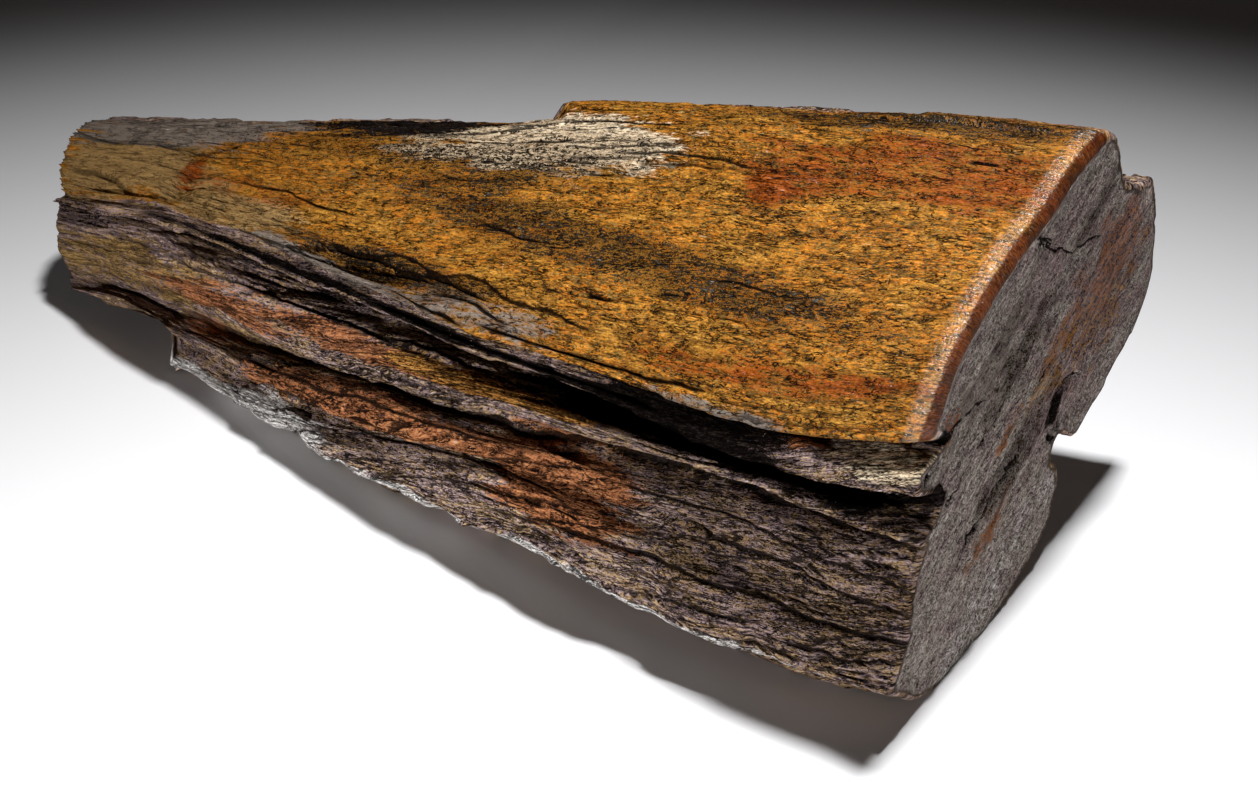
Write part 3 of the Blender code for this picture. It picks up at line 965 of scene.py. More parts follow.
        # The sheets' levels and edges also place the painted shadow lines under each sheet's edge in
        # the finish.
        self.sheet = level
        self.sheet_edge = thickness * self.weather
        edge = wear.sheet_edge
        return thickness * (np.minimum(part / edge, 1) - smoothstep(edge, 1.0, part))

    def fine_relief(self) -> np.ndarray:
        """Return the fibres, ledges and cracks that only the visible skin has."""
        wear = self.wear
        narrow = wear.narrow.at(self.grain)
        fibre = wear.fibre.at(self.grain)
        open_here = smoothstep(*wear.seam_patch_reach, wear.seam_patches.at(self.grain))
        seams = np.abs(wear.seam.at(self.grain))
        seams = (1 - smoothstep(*wear.seam_reach, seams)) * open_here
        weathered = (wear.wide_height * (1 - 2 * np.abs(wear.wide.at(self.grain)))
                     + wear.narrow_height * (1 - 2 * np.abs(narrow))
                     + wear.sheet_height * self.split_sheets() + wear.fibre_height * fibre
                     - wear.seam_depth * seams - wear.sunk)
        pits = smoothstep(*wear.pit_reach, wear.pit.at(self.grain))
        sealed = (wear.narrow_height * narrow + wear.fibre_height_sealed * fibre
                  - wear.pit_depth * pits - wear.seam_depth_sealed * seams)
        return self.weather * weathered + (1 - self.weather) * sealed

    def crack_relief(self) -> np.ndarray:
        """Return the relief of the named cracks and plate edges, noting where they run."""
        wear = self.wear
        height = np.zeros(self.x.shape)
        self.rift = np.full(self.x.shape, wear.no_rift)
        self.rift_near = np.zeros(self.x.shape)
        for order, crack in enumerate(CRACKS):
            here, offset = self.follow(crack.path)
            lines = np.column_stack((here, 0 * here, 0 * here))
            wander = wear.crack_wander.reseeded(order).at(lines)
            levels = wear.crack_jog_levels
            jogs = np.round(levels * wear.crack_jog.reseeded(order).at(lines)) / levels
            offset = offset + (wander + wear.crack_jog_height * jogs)[:, None]
            ends = (smoothstep(0, wear.crack_taper, here - crack.path[0][0])
                    * smoothstep(0, wear.crack_taper, crack.path[-1][0] - here))[:, None]
            least, varying = wear.crack_width
            lagging = np.abs(np.roll(wander, wear.crack_width_shift))
            width = crack.width * (least + varying * lagging)[:, None]
            height -= wear.crack_depth * crack.depth * ends * np.exp(-(offset / width) ** 2)
            # Where the nearest crack runs, and how near, places the painted shade of the cracks in
            # the finish.
            closer = (np.abs(offset / width) < np.abs(self.rift)) & (ends > wear.crack_seen)
            self.rift = np.where(closer, offset / width, self.rift)
            near = ends * smoothstep(*wear.crack_shade_reach, np.abs(offset))
            self.rift_near = np.where(closer, near, self.rift_near)
            if crack.step:
                beyond = offset * math.copysign(1.0, crack.step)
                held = 1 - smoothstep(wear.step_hold * crack.fade, crack.fade, beyond)
                height -= (abs(crack.step) * ends
                           * smoothstep(-crack.width, crack.width, beyond) * held)
        return height

    def patch_mask(self, stain: Stain) -> np.ndarray:
        """Return how strongly a stain covers each point, from 0 to 1.

        Args:
            stain: the stain.

        Returns:
            One share for each point.
        """
        wear = self.wear
        clear = np.ones(self.x.shape)
        ragged = wear.stain_broad.at(self.grain) + wear.stain_fine.at(self.grain)
        for patch in PATCHES:
            if patch.stain is not stain:
                continue
            path = [(patch.x + way, patch.girth + patch.slant * way) for way in (-LENGTH, LENGTH)]
            around = self.follow(path)[1] / patch.reach_girth
            inside = 1 - np.hypot((self.x - patch.x) / patch.reach_x, around) + ragged
            clear *= 1 - patch.strength * smoothstep(*wear.stain_border, inside)
        return 1 - clear

    def round_rim(self, height: np.ndarray) -> np.ndarray:
        """Return the height with the big end's rim rounded off.

        Args:
            height: the relief of the skin so far.

        Returns:
            The relief with the rounding taken off.
        """
        radii = np.full(len(NAMES), self.rim_radius)
        radii[np.isin(NAMES, SEALED_LINES)] = self.rim_radius_sealed
        radii[np.isin(NAMES, LOBE_LINES)] = self.rim_radius_lobe
        radius = self.round_mix(radii)[None, :]
        gone = np.clip(radius - (HALF_LENGTH - self.x), 0, radius)
        return height - (radius - np.sqrt(np.maximum(radius ** 2 - gone ** 2, 0)))

    def weather_all(self) -> None:
        """Add every relief and keep the finished points and masks."""
        self.rough = self.round_mix(np.array([LINES[name].rough for name in NAMES]))
        self.sealed = self.round_mix(np.isin(NAMES, SEALED_LINES).astype(float))
        self.grain = self.grain_places()
        smooth = self.patch_mask(Stain.SMOOTH)
        weather = self.rough[None, :] + self.ash_weather * self.patch_mask(Stain.ASH)
        self.weather = np.clip(weather * (1 - self.smooth_weather * smooth), 0, 1)
        solid = self.solid_relief()
        before_rim = HALF_LENGTH - self.x
        rim = (self.rim_calm
               + (1 - self.rim_calm) * smoothstep(*self.rim_calm_reach, before_rim))
        fine = (self.fine_relief() + self.crack_relief()) * rim
        # Painted shade: hollows of the fine relief are darkened in the finish, as if shade fell in
        # them.
        self.hollow_shade = np.clip((even_out(fine, *self.hollow_reach) - fine) / self.hollow, 0, 1)
        self.calm = smoothstep(*self.calm_reach, self.x)
        self.roll = (smoothstep(*self.roll_reach, before_rim)
                     * smoothstep(*self.roll_sealed, self.sealed)[None, :])
        fine = fine * (1 - self.roll_smooth * self.roll)
        grown = smoothstep(0.0, self.end_reach, self.shares)[:, None]
        share = self.end_height + (1 - self.end_height) * grown
        height = self.round_rim((solid + fine) * share)
        moved = self.flat + self.outward() * height[..., None]
        self.points = np.concatenate((self.x[..., None], moved), axis=-1)


def even_out(grid: np.ndarray, round_reach: int, along_reach: int) -> np.ndarray:
    """Blur a grid of rings, which close on themselves round the log.

    Args:
        grid: the numbers, one row for each ring.
        round_reach: points taken in on each side, round the log.
        along_reach: rings taken in on each side.

    Returns:
        The blurred grid.
    """
    total = sum(np.roll(grid, k, axis=1) for k in range(-round_reach, round_reach + 1))
    total = total / (2 * round_reach + 1)
    padded = np.pad(total, ((along_reach, along_reach), (0, 0)), mode="edge")
    rows = grid.shape[0]
    return sum(padded[k:k + rows] for k in range(2 * along_reach + 1)) / (2 * along_reach + 1)


@dataclass
class BrokenEnd:
    """A cap of the log: the rim of the loft filled with a fine broken face.

    Attributes:
        rim: the ring of points that it closes.
        side: 1 for the big end, -1 for the small end.
        spacing: how far apart the points of the face lie.
        tilt: how the laminations lean.
        least_gap: how close a point may lie to the rim, as a share of the spacing.
        settle_over: from how far inside the rim the face has its own full relief.
        ledge, ledge_steps, ledge_edge, ledge_height: the ledges of the big end.
        stria, ripple: its striae and its finest relief.
        plate, plate_steps, plate_edge, plate_height: the split plates of the small end.
        splinter: its finer splinters.
        splinter_rise: how far all of it stands out.
        crack_rag: how the cracks wander, one pattern for each axis.
        stain_broad, stain_fine: the raggedness of a stain's border.
        stain_border: from where to where a stain's cover rises.
        rim_step: every how many points of the rim its own depth is read.
        rim_softness: how far that reading is evened, in mm squared.
    """

    rim: np.ndarray
    side: int
    spacing: float
    tilt: float
    least_gap: float = 0.6
    settle_over: float = 5.0
    ledge: Pattern = Pattern(49, 60, 14, 2)
    ledge_steps: float = 3
    ledge_edge: float = 0.15
    ledge_height: float = 0.5
    stria: Pattern = Pattern(41, 13, 2.2, 3, 0.8)
    ripple: Pattern = Pattern(43, 5, 1.6, 2, 0.7)
    plate: Pattern = Pattern(45, 30, 6, 2)
    plate_steps: float = 5
    plate_edge: float = 0.1
    plate_height: float = 1.8
    splinter: Pattern = Pattern(47, 9, 2, 2, 0.6)
    splinter_rise: float = 1.5
    crack_rag: tuple[Pattern, Pattern] = (Pattern(51, 5, 5, 2, 1.3),
                                          Pattern(52, 5, 5, 2, 1.3))
    stain_broad: Pattern = Pattern(35, 12, 7, 2, 0.5)
    stain_fine: Pattern = Pattern(37, 3.5, 2.2, 3, 0.6)
    stain_border: Span = (-0.3, 0.6)
    rim_step: int = 4
    rim_softness: float = 4.0

    def inner_points(self) -> np.ndarray:
        """Return (y, z) of an even field of points inside the rim."""
        outline = self.rim[:, 1:]
        low, high = outline.min(axis=0), outline.max(axis=0)
        rows = np.arange(low[1], high[1], self.spacing * math.sqrt(0.75))
        columns = np.arange(low[0], high[0], self.spacing)
        field_y, field_z = np.meshgrid(columns, rows)
        field_y = field_y + (np.arange(len(rows)) % 2)[:, None] * self.spacing / 2
        spots = np.stack((field_y.ravel(), field_z.ravel()), axis=-1)
        following = np.roll(outline, -1, axis=0)
        inside = np.zeros(len(spots), bool)
        for (y0, z0), (y1, z1) in zip(outline, following):
            crosses = (z0 > spots[:, 1]) != (z1 > spots[:, 1])
            if z0 != z1:
                at = (y1 - y0) * (spots[:, 1] - z0) / (z1 - z0) + y0
                inside ^= crosses & (spots[:, 0] < at)
        spots = spots[inside]
        return spots[self.rim_gap(spots) > self.least_gap * self.spacing]

    def rim_gap(self, spots: np.ndarray) -> np.ndarray:
        """Return how far each spot lies from the nearest point of the rim."""
        return np.min([distances(spots, corner) for corner in self.rim[:, 1:]], axis=0)

    def bedded(self, spots: np.ndarray) -> tuple[np.ndarray, np.ndarray]:
        """Turn (y, z) into ways along and across the laminations.

        Args:
            spots: places on the face.

        Returns:
            The ways along, and the ways across.
        """
        along = spots[:, 0] * math.cos(self.tilt) + spots[:, 1] * math.sin(self.tilt)
        across = -spots[:, 0] * math.sin(self.tilt) + spots[:, 1] * math.cos(self.tilt)
        return along, across

    def bedded_places(self, spots: np.ndarray) -> np.ndarray:
        """Return where spots of the face lie in the laminations, for its patterns."""
        along, across = self.bedded(spots)
        return np.stack((along, across, np.zeros_like(along)), axis=-1)

    def depth_at(self, spots: np.ndarray) -> np.ndarray:
        """Return how far out along X the broken face lies at each spot.

        Args:
            spots: (y, z) of points of the face.

        Returns:
            One length in mm for each, from the rim's own depth.
        """
        places = self.bedded_places(spots)
        if self.side > 0:
            ledges = terrace(self.ledge.at(places) * self.ledge_steps, self.ledge_edge)
            return (self.ledge_height * ledges + self.stria.at(places) + self.ripple.at(places)
                    - self.crack_depth(spots))
        plates = terrace(self.plate.at(places) * self.plate_steps, self.plate_edge)
        return -self.plate_height * plates + self.splinter.at(places) + self.splinter_rise

    @staticmethod
    def crack_offset(spots: np.ndarray, crack: Crack) -> np.ndarray:
        """Return how far each spot lies from a crack, in its widths, with its side as sign.

        Args:
            spots: places (y, z) on the face.
            crack: the crack.

        Returns:
            One offset for each spot.
        """
        nearest = np.full(len(spots), np.inf)
        for start, end in zip(crack.path, crack.path[1:]):
            first, way = np.array(start, float), np.array(end, float) - start
            reach = spots - first
            part = np.clip((reach @ way) / (way @ way), 0, 1)
            gap = np.hypot(*(reach - part[:, None] * way).T)
            side = np.sign(reach[:, 0] * way[1] - reach[:, 1] * way[0])
            nearest = np.where(gap < np.abs(nearest), gap * side, nearest)
        return nearest / crack.width

    def crack_offsets(self, spots: np.ndarray) -> np.ndarray:
        """Return the offsets of every spot from every crack, one row for each crack.

        Args:
            spots: places (y, z) on the face.

        Returns:
            The offsets, in the cracks' own widths.
        """
        flat = np.column_stack((spots, np.zeros(len(spots))))
        ragged = np.stack([pattern.at(flat) for pattern in self.crack_rag], axis=-1)
        return np.stack([self.crack_offset(spots + ragged, crack)
                         for crack in FACE_CRACKS])

    def crack_depth(self, spots: np.ndarray) -> np.ndarray:
        """Return how deep the cracks of the face are at each spot."""
        depths = np.array([crack.depth for crack in FACE_CRACKS])[:, None]
        return (depths * np.exp(-self.crack_offsets(spots) ** 2)).sum(axis=0)

    def patch_mask(self, spots: np.ndarray, stain: Stain) -> np.ndarray:
        """Return how strongly a stain covers each spot of the face, from 0 to 1.

        Args:
            spots: places (y, z) on the face.
            stain: the stain.

        Returns:
            One share for each spot.
        """
        places = self.bedded_places(spots)
        ragged = self.stain_broad.at(places) + self.stain_fine.at(places)
        along, across = self.bedded(spots)
        clear = np.ones(len(spots))
        for patch in FACE_PATCHES:
            if patch.stain is not stain:
                continue
            middle_along, middle_across = self.bedded(np.array([[patch.y, patch.z]], float))
            reach = np.hypot((along - middle_along) / patch.reach_along,
                             (across - middle_across) / patch.reach_across)
            clear *= 1 - patch.strength * smoothstep(*self.stain_border, 1 - reach + ragged)
        return 1 - clear

    def rim_depth(self, spots: np.ndarray) -> np.ndarray:
        """Carry the rim's own X smoothly over the face.

        Args:
            spots: places (y, z) on the face.

        Returns:
            The X of each spot.
        """
        total = np.zeros(len(spots))
        weights = np.zeros(len(spots))
        for corner in self.rim[::self.rim_step]:
            far = ((spots - corner[1:]) ** 2).sum(axis=1)
            weight = 1 / (far + self.rim_softness) ** 1.5
            total += weight * corner[0]
            weights += weight
        return total / weights

    def build(self) -> tuple[np.ndarray, list[tuple[int, int, int]]]:
        """Make the face.

        Returns:
            The inner points in 3D, and triangles that count the rim's points first
            and the inner points after them.
        """
        spots = self.inner_points()
        settle = smoothstep(0.0, self.settle_over, self.rim_gap(spots))
        x = self.rim_depth(spots) + self.depth_at(spots) * settle
        every = np.concatenate((self.rim[:, 1:], spots))
        count = len(self.rim)
        edges = [(i, (i + 1) % count) for i in range(count)]
        filled = geometry.delaunay_2d_cdt([Vector(p) for p in every], edges, [], 1, CLOSE)
        origin = [group[0] if group else int(np.argmin(distances(every, np.array(place))))
                  for group, place in zip(filled[3], filled[0])]
        faces = [tuple(origin[i] for i in face) for face in filled[2]]
        if self.side < 0:
            faces = [face[::-1] for face in faces]
        return np.column_stack((x, spots)), faces


@dataclass
class PetrifiedLog:
    """The visible log: skin and ends in one closed mesh, with its masks.

    Attributes:
        skin: the loft of the side.
        big_spacing: spacing of the points of the big end's face.
        small_spacing: spacing of the points of the small end's face.
        small_end_width: width of the small end, as a share of the big end's.
        big_grain_finer: how much finer the big end's grain is along its laminations.
        roll_runs_on: from where to where, inside the rim, the rolled edge ends.
        crack_shade_reach: from where to where, beside a crack of the big end, its painted
        shade ends, in widths.
    """

    skin: Skin = field(default_factory=Skin)
    big_spacing: float = 1.35
    small_spacing: float = 1.8
    small_end_width: float = 0.43
    big_grain_finer: float = 2.4
    roll_runs_on: Span = (1.6, 0.4)
    crack_shade_reach: Span = (4.0, 2.5)

    def build(self) -> bpy.types.Object:
        """Return the finished mesh object, still without its material."""
        self.skin.lay_out()
        self.skin.weather_all()
        rings, count = self.skin.x.shape
        side = self.skin.points.reshape(-1, 3)
        small_end = BrokenEnd(
            self.skin.points[0], -1, self.small_spacing, self.skin.bedding_tilt)
        small, small_faces = small_end.build()
        big_end = BrokenEnd(self.skin.points[-1], 1, self.big_spacing, self.skin.bedding_tilt)
        big, big_faces = big_end.build()
        points = self.skin.settled(np.concatenate((side, small, big))) * MM
        faces = self.side_faces(rings, count)
        faces += self.shifted(small_faces, count, 0, len(side))
        faces += self.shifted(big_faces, count, len(side) - count, len(side) + len(small))
        data = bpy.data.meshes.new("petrified_log_skin")
        data.from_pydata(points.tolist(), [], faces)
        data.polygons.foreach_set("use_smooth", [True] * len(data.polygons))
        self.store_masks(data, small, big, big_end)
        data.update()
        log = bpy.data.objects.new("petrified_log_skin", data)
        bpy.context.scene.collection.objects.link(log)
        return log

    @staticmethod
    def side_faces(rings: int, count: int) -> list[tuple[int, int, int]]:
        """Return the triangles between the rings of the skin.

        Args:
            rings: how many rings there are.
            count: how many points each has.

        Returns:
            Three point numbers for each triangle.
        """
        start = np.arange(rings - 1)[:, None] * count
        near = start + np.arange(count)[None, :]
        far = start + (np.arange(count)[None, :] + 1) % count
        first = np.stack((near, far, far + count), axis=-1).reshape(-1, 3)
        second = np.stack((near, far + count, near + count), axis=-1).reshape(-1, 3)
        return [tuple(face) for face in np.concatenate((first, second)).tolist()]

    @staticmethod
    def shifted(faces: Sequence[tuple[int, ...]], count: int, rim_start: int,
                inner_start: int) -> list[tuple[int, ...]]:
        """Renumber an end's triangles to the whole mesh's points."""
        return [tuple(rim_start + i if i < count else inner_start + i - count for i in face)
                for face in faces]

    def store_masks(self, data: bpy.types.Mesh, small: np.ndarray, big: np.ndarray,
                    big_end: BrokenEnd) -> None:
        """Store what the finish needs to know at every point.

        Args:
            data: the mesh.
            small: the inner points of the small end.
            big: the inner points of the big end.
            big_end: the big end's face, which knows its stains.
        """
        skin = self.skin
        small_middle = small[:, 1:].mean(axis=0)
        small_grain = np.column_stack((small[:, 0], (small[:, 1:] - small_middle)
                                       * (1 - skin.run_out) / self.small_end_width))
        spots = big[:, 1:]
        along, across = big_end.bedded(spots - skin.flat[-1].mean(axis=0))
        big_grain = np.column_stack((along * self.big_grain_finer, across, big[:, 0]))
        grain = np.concatenate((skin.grain.reshape(-1, 3), small_grain, big_grain))
        data.attributes.new("grain", "FLOAT_VECTOR", "POINT").data.foreach_set(
            "vector", grain.astype(np.float32).ravel())
        blank_ring = np.zeros(skin.x.shape)
        blank_small = np.zeros(len(small))
        blank_big = np.zeros(len(big))
        gaps = np.stack([distances(spots, corner) for corner in big_end.rim[:, 1:]])
        near_roll = (skin.roll[-1][gaps.argmin(axis=0)]
                     * smoothstep(*self.roll_runs_on, gaps.min(axis=0)))
        offsets = big_end.crack_offsets(spots)
        rift = np.take_along_axis(offsets, np.abs(offsets).argmin(axis=0)[None], axis=0)[0]
        rift_near = smoothstep(*self.crack_shade_reach, np.abs(rift))
        masks = {
            "sealed": (skin.sealed + blank_ring, blank_small, blank_big),
            "hollow_shade": (skin.hollow_shade, blank_small, blank_big),
            "rift": (skin.rift, blank_small + skin.wear.no_rift, rift),
            "rift_near": (skin.rift_near, blank_small, rift_near),
            "big_end": (blank_ring, blank_small, blank_big + 1),
            "small_end": (blank_ring, blank_small + 1, blank_big),
            "roll": (skin.roll, blank_small, near_roll),
            "calm": (skin.calm, blank_small + 1, blank_big),
            "sheet": (skin.sheet, blank_small, blank_big),
            "sheet_edge": (skin.sheet_edge, blank_small, blank_big),
        }
        for stain in COVERS:
            masks[stain.value] = (skin.patch_mask(stain), blank_small,
                                  big_end.patch_mask(spots, stain))
        for name, parts in masks.items():
            values = np.concatenate([part.ravel() for part in parts])
            data.attributes.new(name, "FLOAT", "POINT").data.foreach_set(
                "value", values.astype(np.float32))


def linear(red: int, green: int, blue: int) -> Colour:
    """Turn a colour of 0 to 255 as a screen shows it into the linear one of a shader.

    Args:
        red, green, blue: its parts.

    Returns:
        The linear colour, fully opaque.
    """
    parts = [value / 255 for value in (red, green, blue)]
    turned = [p / 12.92 if p <= 0.04045 else ((p + 0.055) / 1.055) ** 2.4 for p in parts]
    return (turned[0], turned[1], turned[2], 1.0)


@dataclass(frozen=True)
class Reading:
    """One output of a finish's nodes, which can be reckoned with.

    Attributes:
        desk: the node tree's builder.
        socket: the output socket.
    """

    desk: "NodeDesk"
    socket: bpy.types.NodeSocket

    def join(self, operation: str, first: Any, second: Any) -> "Reading":
        """Add a Math node of two values."""
        node = self.desk.add("ShaderNodeMath", {"operation": operation}, {0: first, 1: second})
        return Reading(self.desk, node.outputs[0])

    def __add__(self, other: Any) -> "Reading":
        """Add a value."""
        return self.join("ADD", self, other)

    __radd__ = __add__

    def __mul__(self, other: Any) -> "Reading":
        """Multiply by a value."""
        return self.join("MULTIPLY", self, other)

    __rmul__ = __mul__

    def __sub__(self, other: Any) -> "Reading":
        """Take a value away."""
        return self.join("SUBTRACT", self, other)

    def __rsub__(self, other: Any) -> "Reading":
        """Take this away from a value."""
        return self.join("SUBTRACT", other, self)

    def __abs__(self) -> "Reading":
        """Return the size of the value, without its sign."""
        return self.greater(self * -1.0)

    def fraction(self) -> "Reading":
        """Return what is left over the whole number below."""
        return self.join("FRACT", self, 0.0)

    def greater(self, other: Any) -> "Reading":
        """Return the larger of two values."""
        return self.join("MAXIMUM", self, other)

    def rise(self, low: float, high: float) -> "Reading":
        """Rise smoothly from 0 at low to 1 at high.

        Args:
            low, high: where the rise starts and ends.

        Returns:
            The rise.
        """
        node = self.desk.add("ShaderNodeMapRange", {"interpolation_type": "SMOOTHSTEP"},
                             {"Value": self, "From Min": low, "From Max": high})
        return Reading(self.desk, node.outputs["Result"])


def total(parts: Sequence[Reading]) -> Reading:
    """Add readings up."""
    return reduce(operator.add, parts)


def weighted(values: Sequence[Reading], shares: Sequence[float]) -> Reading:
    """Add patterns up, each by its share."""
    return total([value * share for value, share in zip(values, shares)])


def swings(values: Sequence[Reading], shares: Sequence[float]) -> list[Reading]:
    """Return how far patterns swing to either side of their middle, each by its share."""
    return [(value - MIDDLE) * share for value, share in zip(values, shares)]


@dataclass(frozen=True)
class Streaks:
    """A streaky pattern of a finish, drawn out along the grain.

    Attributes:
        along: the length of a streak in mm.
        across: its width in mm.
        shift: picks the pattern.
        detail: how many finer patterns lie over it.
        roughness: how strong those are.
        warp: how far the pattern is bent.
    """

    along: float
    across: float
    shift: float
    detail: float = 3.0
    roughness: float = 0.6
    warp: float = 0.4

    def patches(self) -> "Streaks":
        """Return the broader pattern of the patches in which these streaks are open gaps."""
        return Streaks(self.along * PATCH_ALONG, self.across * PATCH_ACROSS,
                       self.shift + PATCH_SHIFT, 1.0, warp=0.0)


class NodeDesk:
    """Builds the node tree of one material."""

    def __init__(self, name: str) -> None:
        """Start an empty tree.

        Args:
            name: the material's name.
        """
        self.material = bpy.data.materials.new(name)
        self.material.use_nodes = True
        self.tree = self.material.node_tree
        self.tree.nodes.clear()

    def add(self, kind: str, settings: dict[str, Any], inputs: dict[Any, Any]) -> Any:
        """Add a node.

        Args:
            kind: the node's type.
            settings: what is set on the node first; "stops" are a ramp's (place, colour).
            inputs: a value or a Reading for each socket, by name or number.

        Returns:
            The new node.
        """
        node = self.tree.nodes.new(kind)
        for key, value in settings.items():
            if key == "stops":
                self.set_stops(node.color_ramp, value)
            else:
                setattr(node, key, value)
        for key, value in inputs.items():
            if isinstance(value, Reading):
                self.tree.links.new(value.socket, node.inputs[key])
            else:
                node.inputs[key].default_value = value
        return node

    @staticmethod
    def set_stops(ramp: bpy.types.ColorRamp, stops: Sequence[tuple[float, Colour]]) -> None:
        """Give a ramp its stops.

        Args:
            ramp: the ramp.
            stops: the place and the colour of each stop.
        """
        while len(ramp.elements) < len(stops):
            ramp.elements.new(0.5)
        for element, (place, colour) in zip(ramp.elements, stops):
            element.position = place
            element.color = colour

    def mask(self, name: str) -> Reading:
        """Read a value that is stored at the mesh's points."""
        node = self.add("ShaderNodeAttribute", {"attribute_name": name}, {})
        return Reading(self, node.outputs["Fac"])

    def fibres(self, streaks: Streaks) -> Reading:
        """Return a streaky pattern along the grain, as a value round 0.5.

        Args:
            streaks: the sizes of the pattern.

        Returns:
            The pattern.
        """
        across = 1 / streaks.across
        place = self.add("ShaderNodeAttribute", {"attribute_name": "grain"}, {})
        scaled = self.add("ShaderNodeVectorMath", {"operation": "MULTIPLY_ADD"},
                          {0: Reading(self, place.outputs["Vector"]),
                           1: (1 / streaks.along, across, across), 2: (streaks.shift,) * 3})
        node = self.add("ShaderNodeTexNoise", {},
                        {"Vector": Reading(self, scaled.outputs[0]), "Scale": 1.0,
                         "Detail": streaks.detail, "Roughness": streaks.roughness,
                         "Distortion": streaks.warp})
        return Reading(self, node.outputs["Fac"])

    def ramp(self, value: Reading, stops: Sequence[tuple[float, Colour]]) -> Reading:
        """Turn a value into a colour."""
        node = self.add("ShaderNodeValToRGB", {"stops": stops}, {"Fac": value})
        return Reading(self, node.outputs["Color"])

    def mix(self, factor: Any, first: Any, second: Any) -> Reading:
        """Mix two colours.

        Args:
            factor: the share of the second.
            first, second: the colours.

        Returns:
            The mixed colour.
        """
        node = self.add("ShaderNodeMix", {"data_type": "RGBA"},
                        {0: factor, 6: first, 7: second})
        return Reading(self, node.outputs[2])


class Border(Enum):
    """How the border of a stain breaks up."""

    FRAYED = "frayed"
    SPECKED = "specked"


@dataclass(frozen=True)
class Cover:
    """How a stain covers the stone.

    Attributes:
        border: how its border breaks up.
        strength: how much its mask tells.
        breaking: how much its border is broken up.
        reach: from where to where it grows to the whole.
        gated: whether it ends where its mask does.
    """

    border: Border = Border.FRAYED
    strength: float = 1.0
    breaking: float = 1.0
    reach: Span = (0.2, 0.8)
    gated: bool = True


FRAYED = Cover()
SPECKED = Cover(Border.SPECKED, 1.1, 0.8, (0.4, 0.6))

# Every stain of the finish, one of them also painted shade, in the order in which they lie over each
# other.
COVERS: dict[Stain, Cover] = {
    Stain.HIDE: FRAYED,
    Stain.TAN: FRAYED,
    Stain.SLAB: FRAYED,
    Stain.OCHRE: SPECKED,
    Stain.ASH: FRAYED,
    Stain.RED: FRAYED,
    Stain.RUST: SPECKED,
    Stain.GOLD: SPECKED,
    Stain.SPECKLE: Cover(Border.SPECKED, 0.6, 1.0, (0.5, 0.58)),
    Stain.SOOT: SPECKED,
    Stain.BLEACH: Cover(breaking=0.5, gated=False),
}


@dataclass(frozen=True)
class Palette:
    """The stone's colours, each as a screen shows its darkest, middle and lightest tone."""

    ochre: Tones = ((52, 36, 14), (148, 99, 34), (206, 153, 64))
    amber: Tones = ((72, 40, 10), (166, 98, 28), (216, 142, 46))
    olive: Tones = ((30, 26, 14), (96, 76, 34), (150, 124, 66))
    hide: Tones = ((42, 34, 37), (140, 118, 117), (202, 180, 172))
    earth: Tones = ((48, 34, 24), (144, 115, 80), (198, 168, 122))
    tan: Tones = ((60, 44, 28), (138, 108, 66), (188, 154, 102))
    slate: Tones = ((72, 64, 60), (154, 141, 132), (216, 206, 196))
    slab: Tones = ((72, 64, 58), (112, 100, 90), (140, 128, 118))
    ash: Tones = ((58, 49, 40), (200, 176, 144), (252, 236, 206))
    # Soot: the colour of a dark patch, and of the painted shade in grooves, cracks and the recess.
    soot: Tones = ((5, 4, 4), (20, 16, 15), (48, 40, 35))
    speckle: Tones = ((9, 7, 6), (26, 20, 14), (64, 50, 32))
    red: Tones = ((56, 20, 6), (124, 58, 14), (170, 90, 28))
    rust: Tones = ((46, 28, 22), (142, 88, 56), (186, 128, 86))
    gold: Tones = ((54, 34, 18), (156, 104, 48), (208, 154, 80))
    bleach: Tones = ((130, 124, 120), (214, 208, 204), (250, 248, 244))
    glaze: Tones = ((30, 12, 6), (66, 28, 12), (106, 54, 24))
    # Crevice: the colour of the painted shade in cracks, hollows and under the sheets' edges.
    crevice_shade: Colour = linear(13, 9, 8)
    # Painted highlight: the colour of tiny glints mixed into the stone's colour.
    painted_glint: Colour = linear(236, 228, 214)


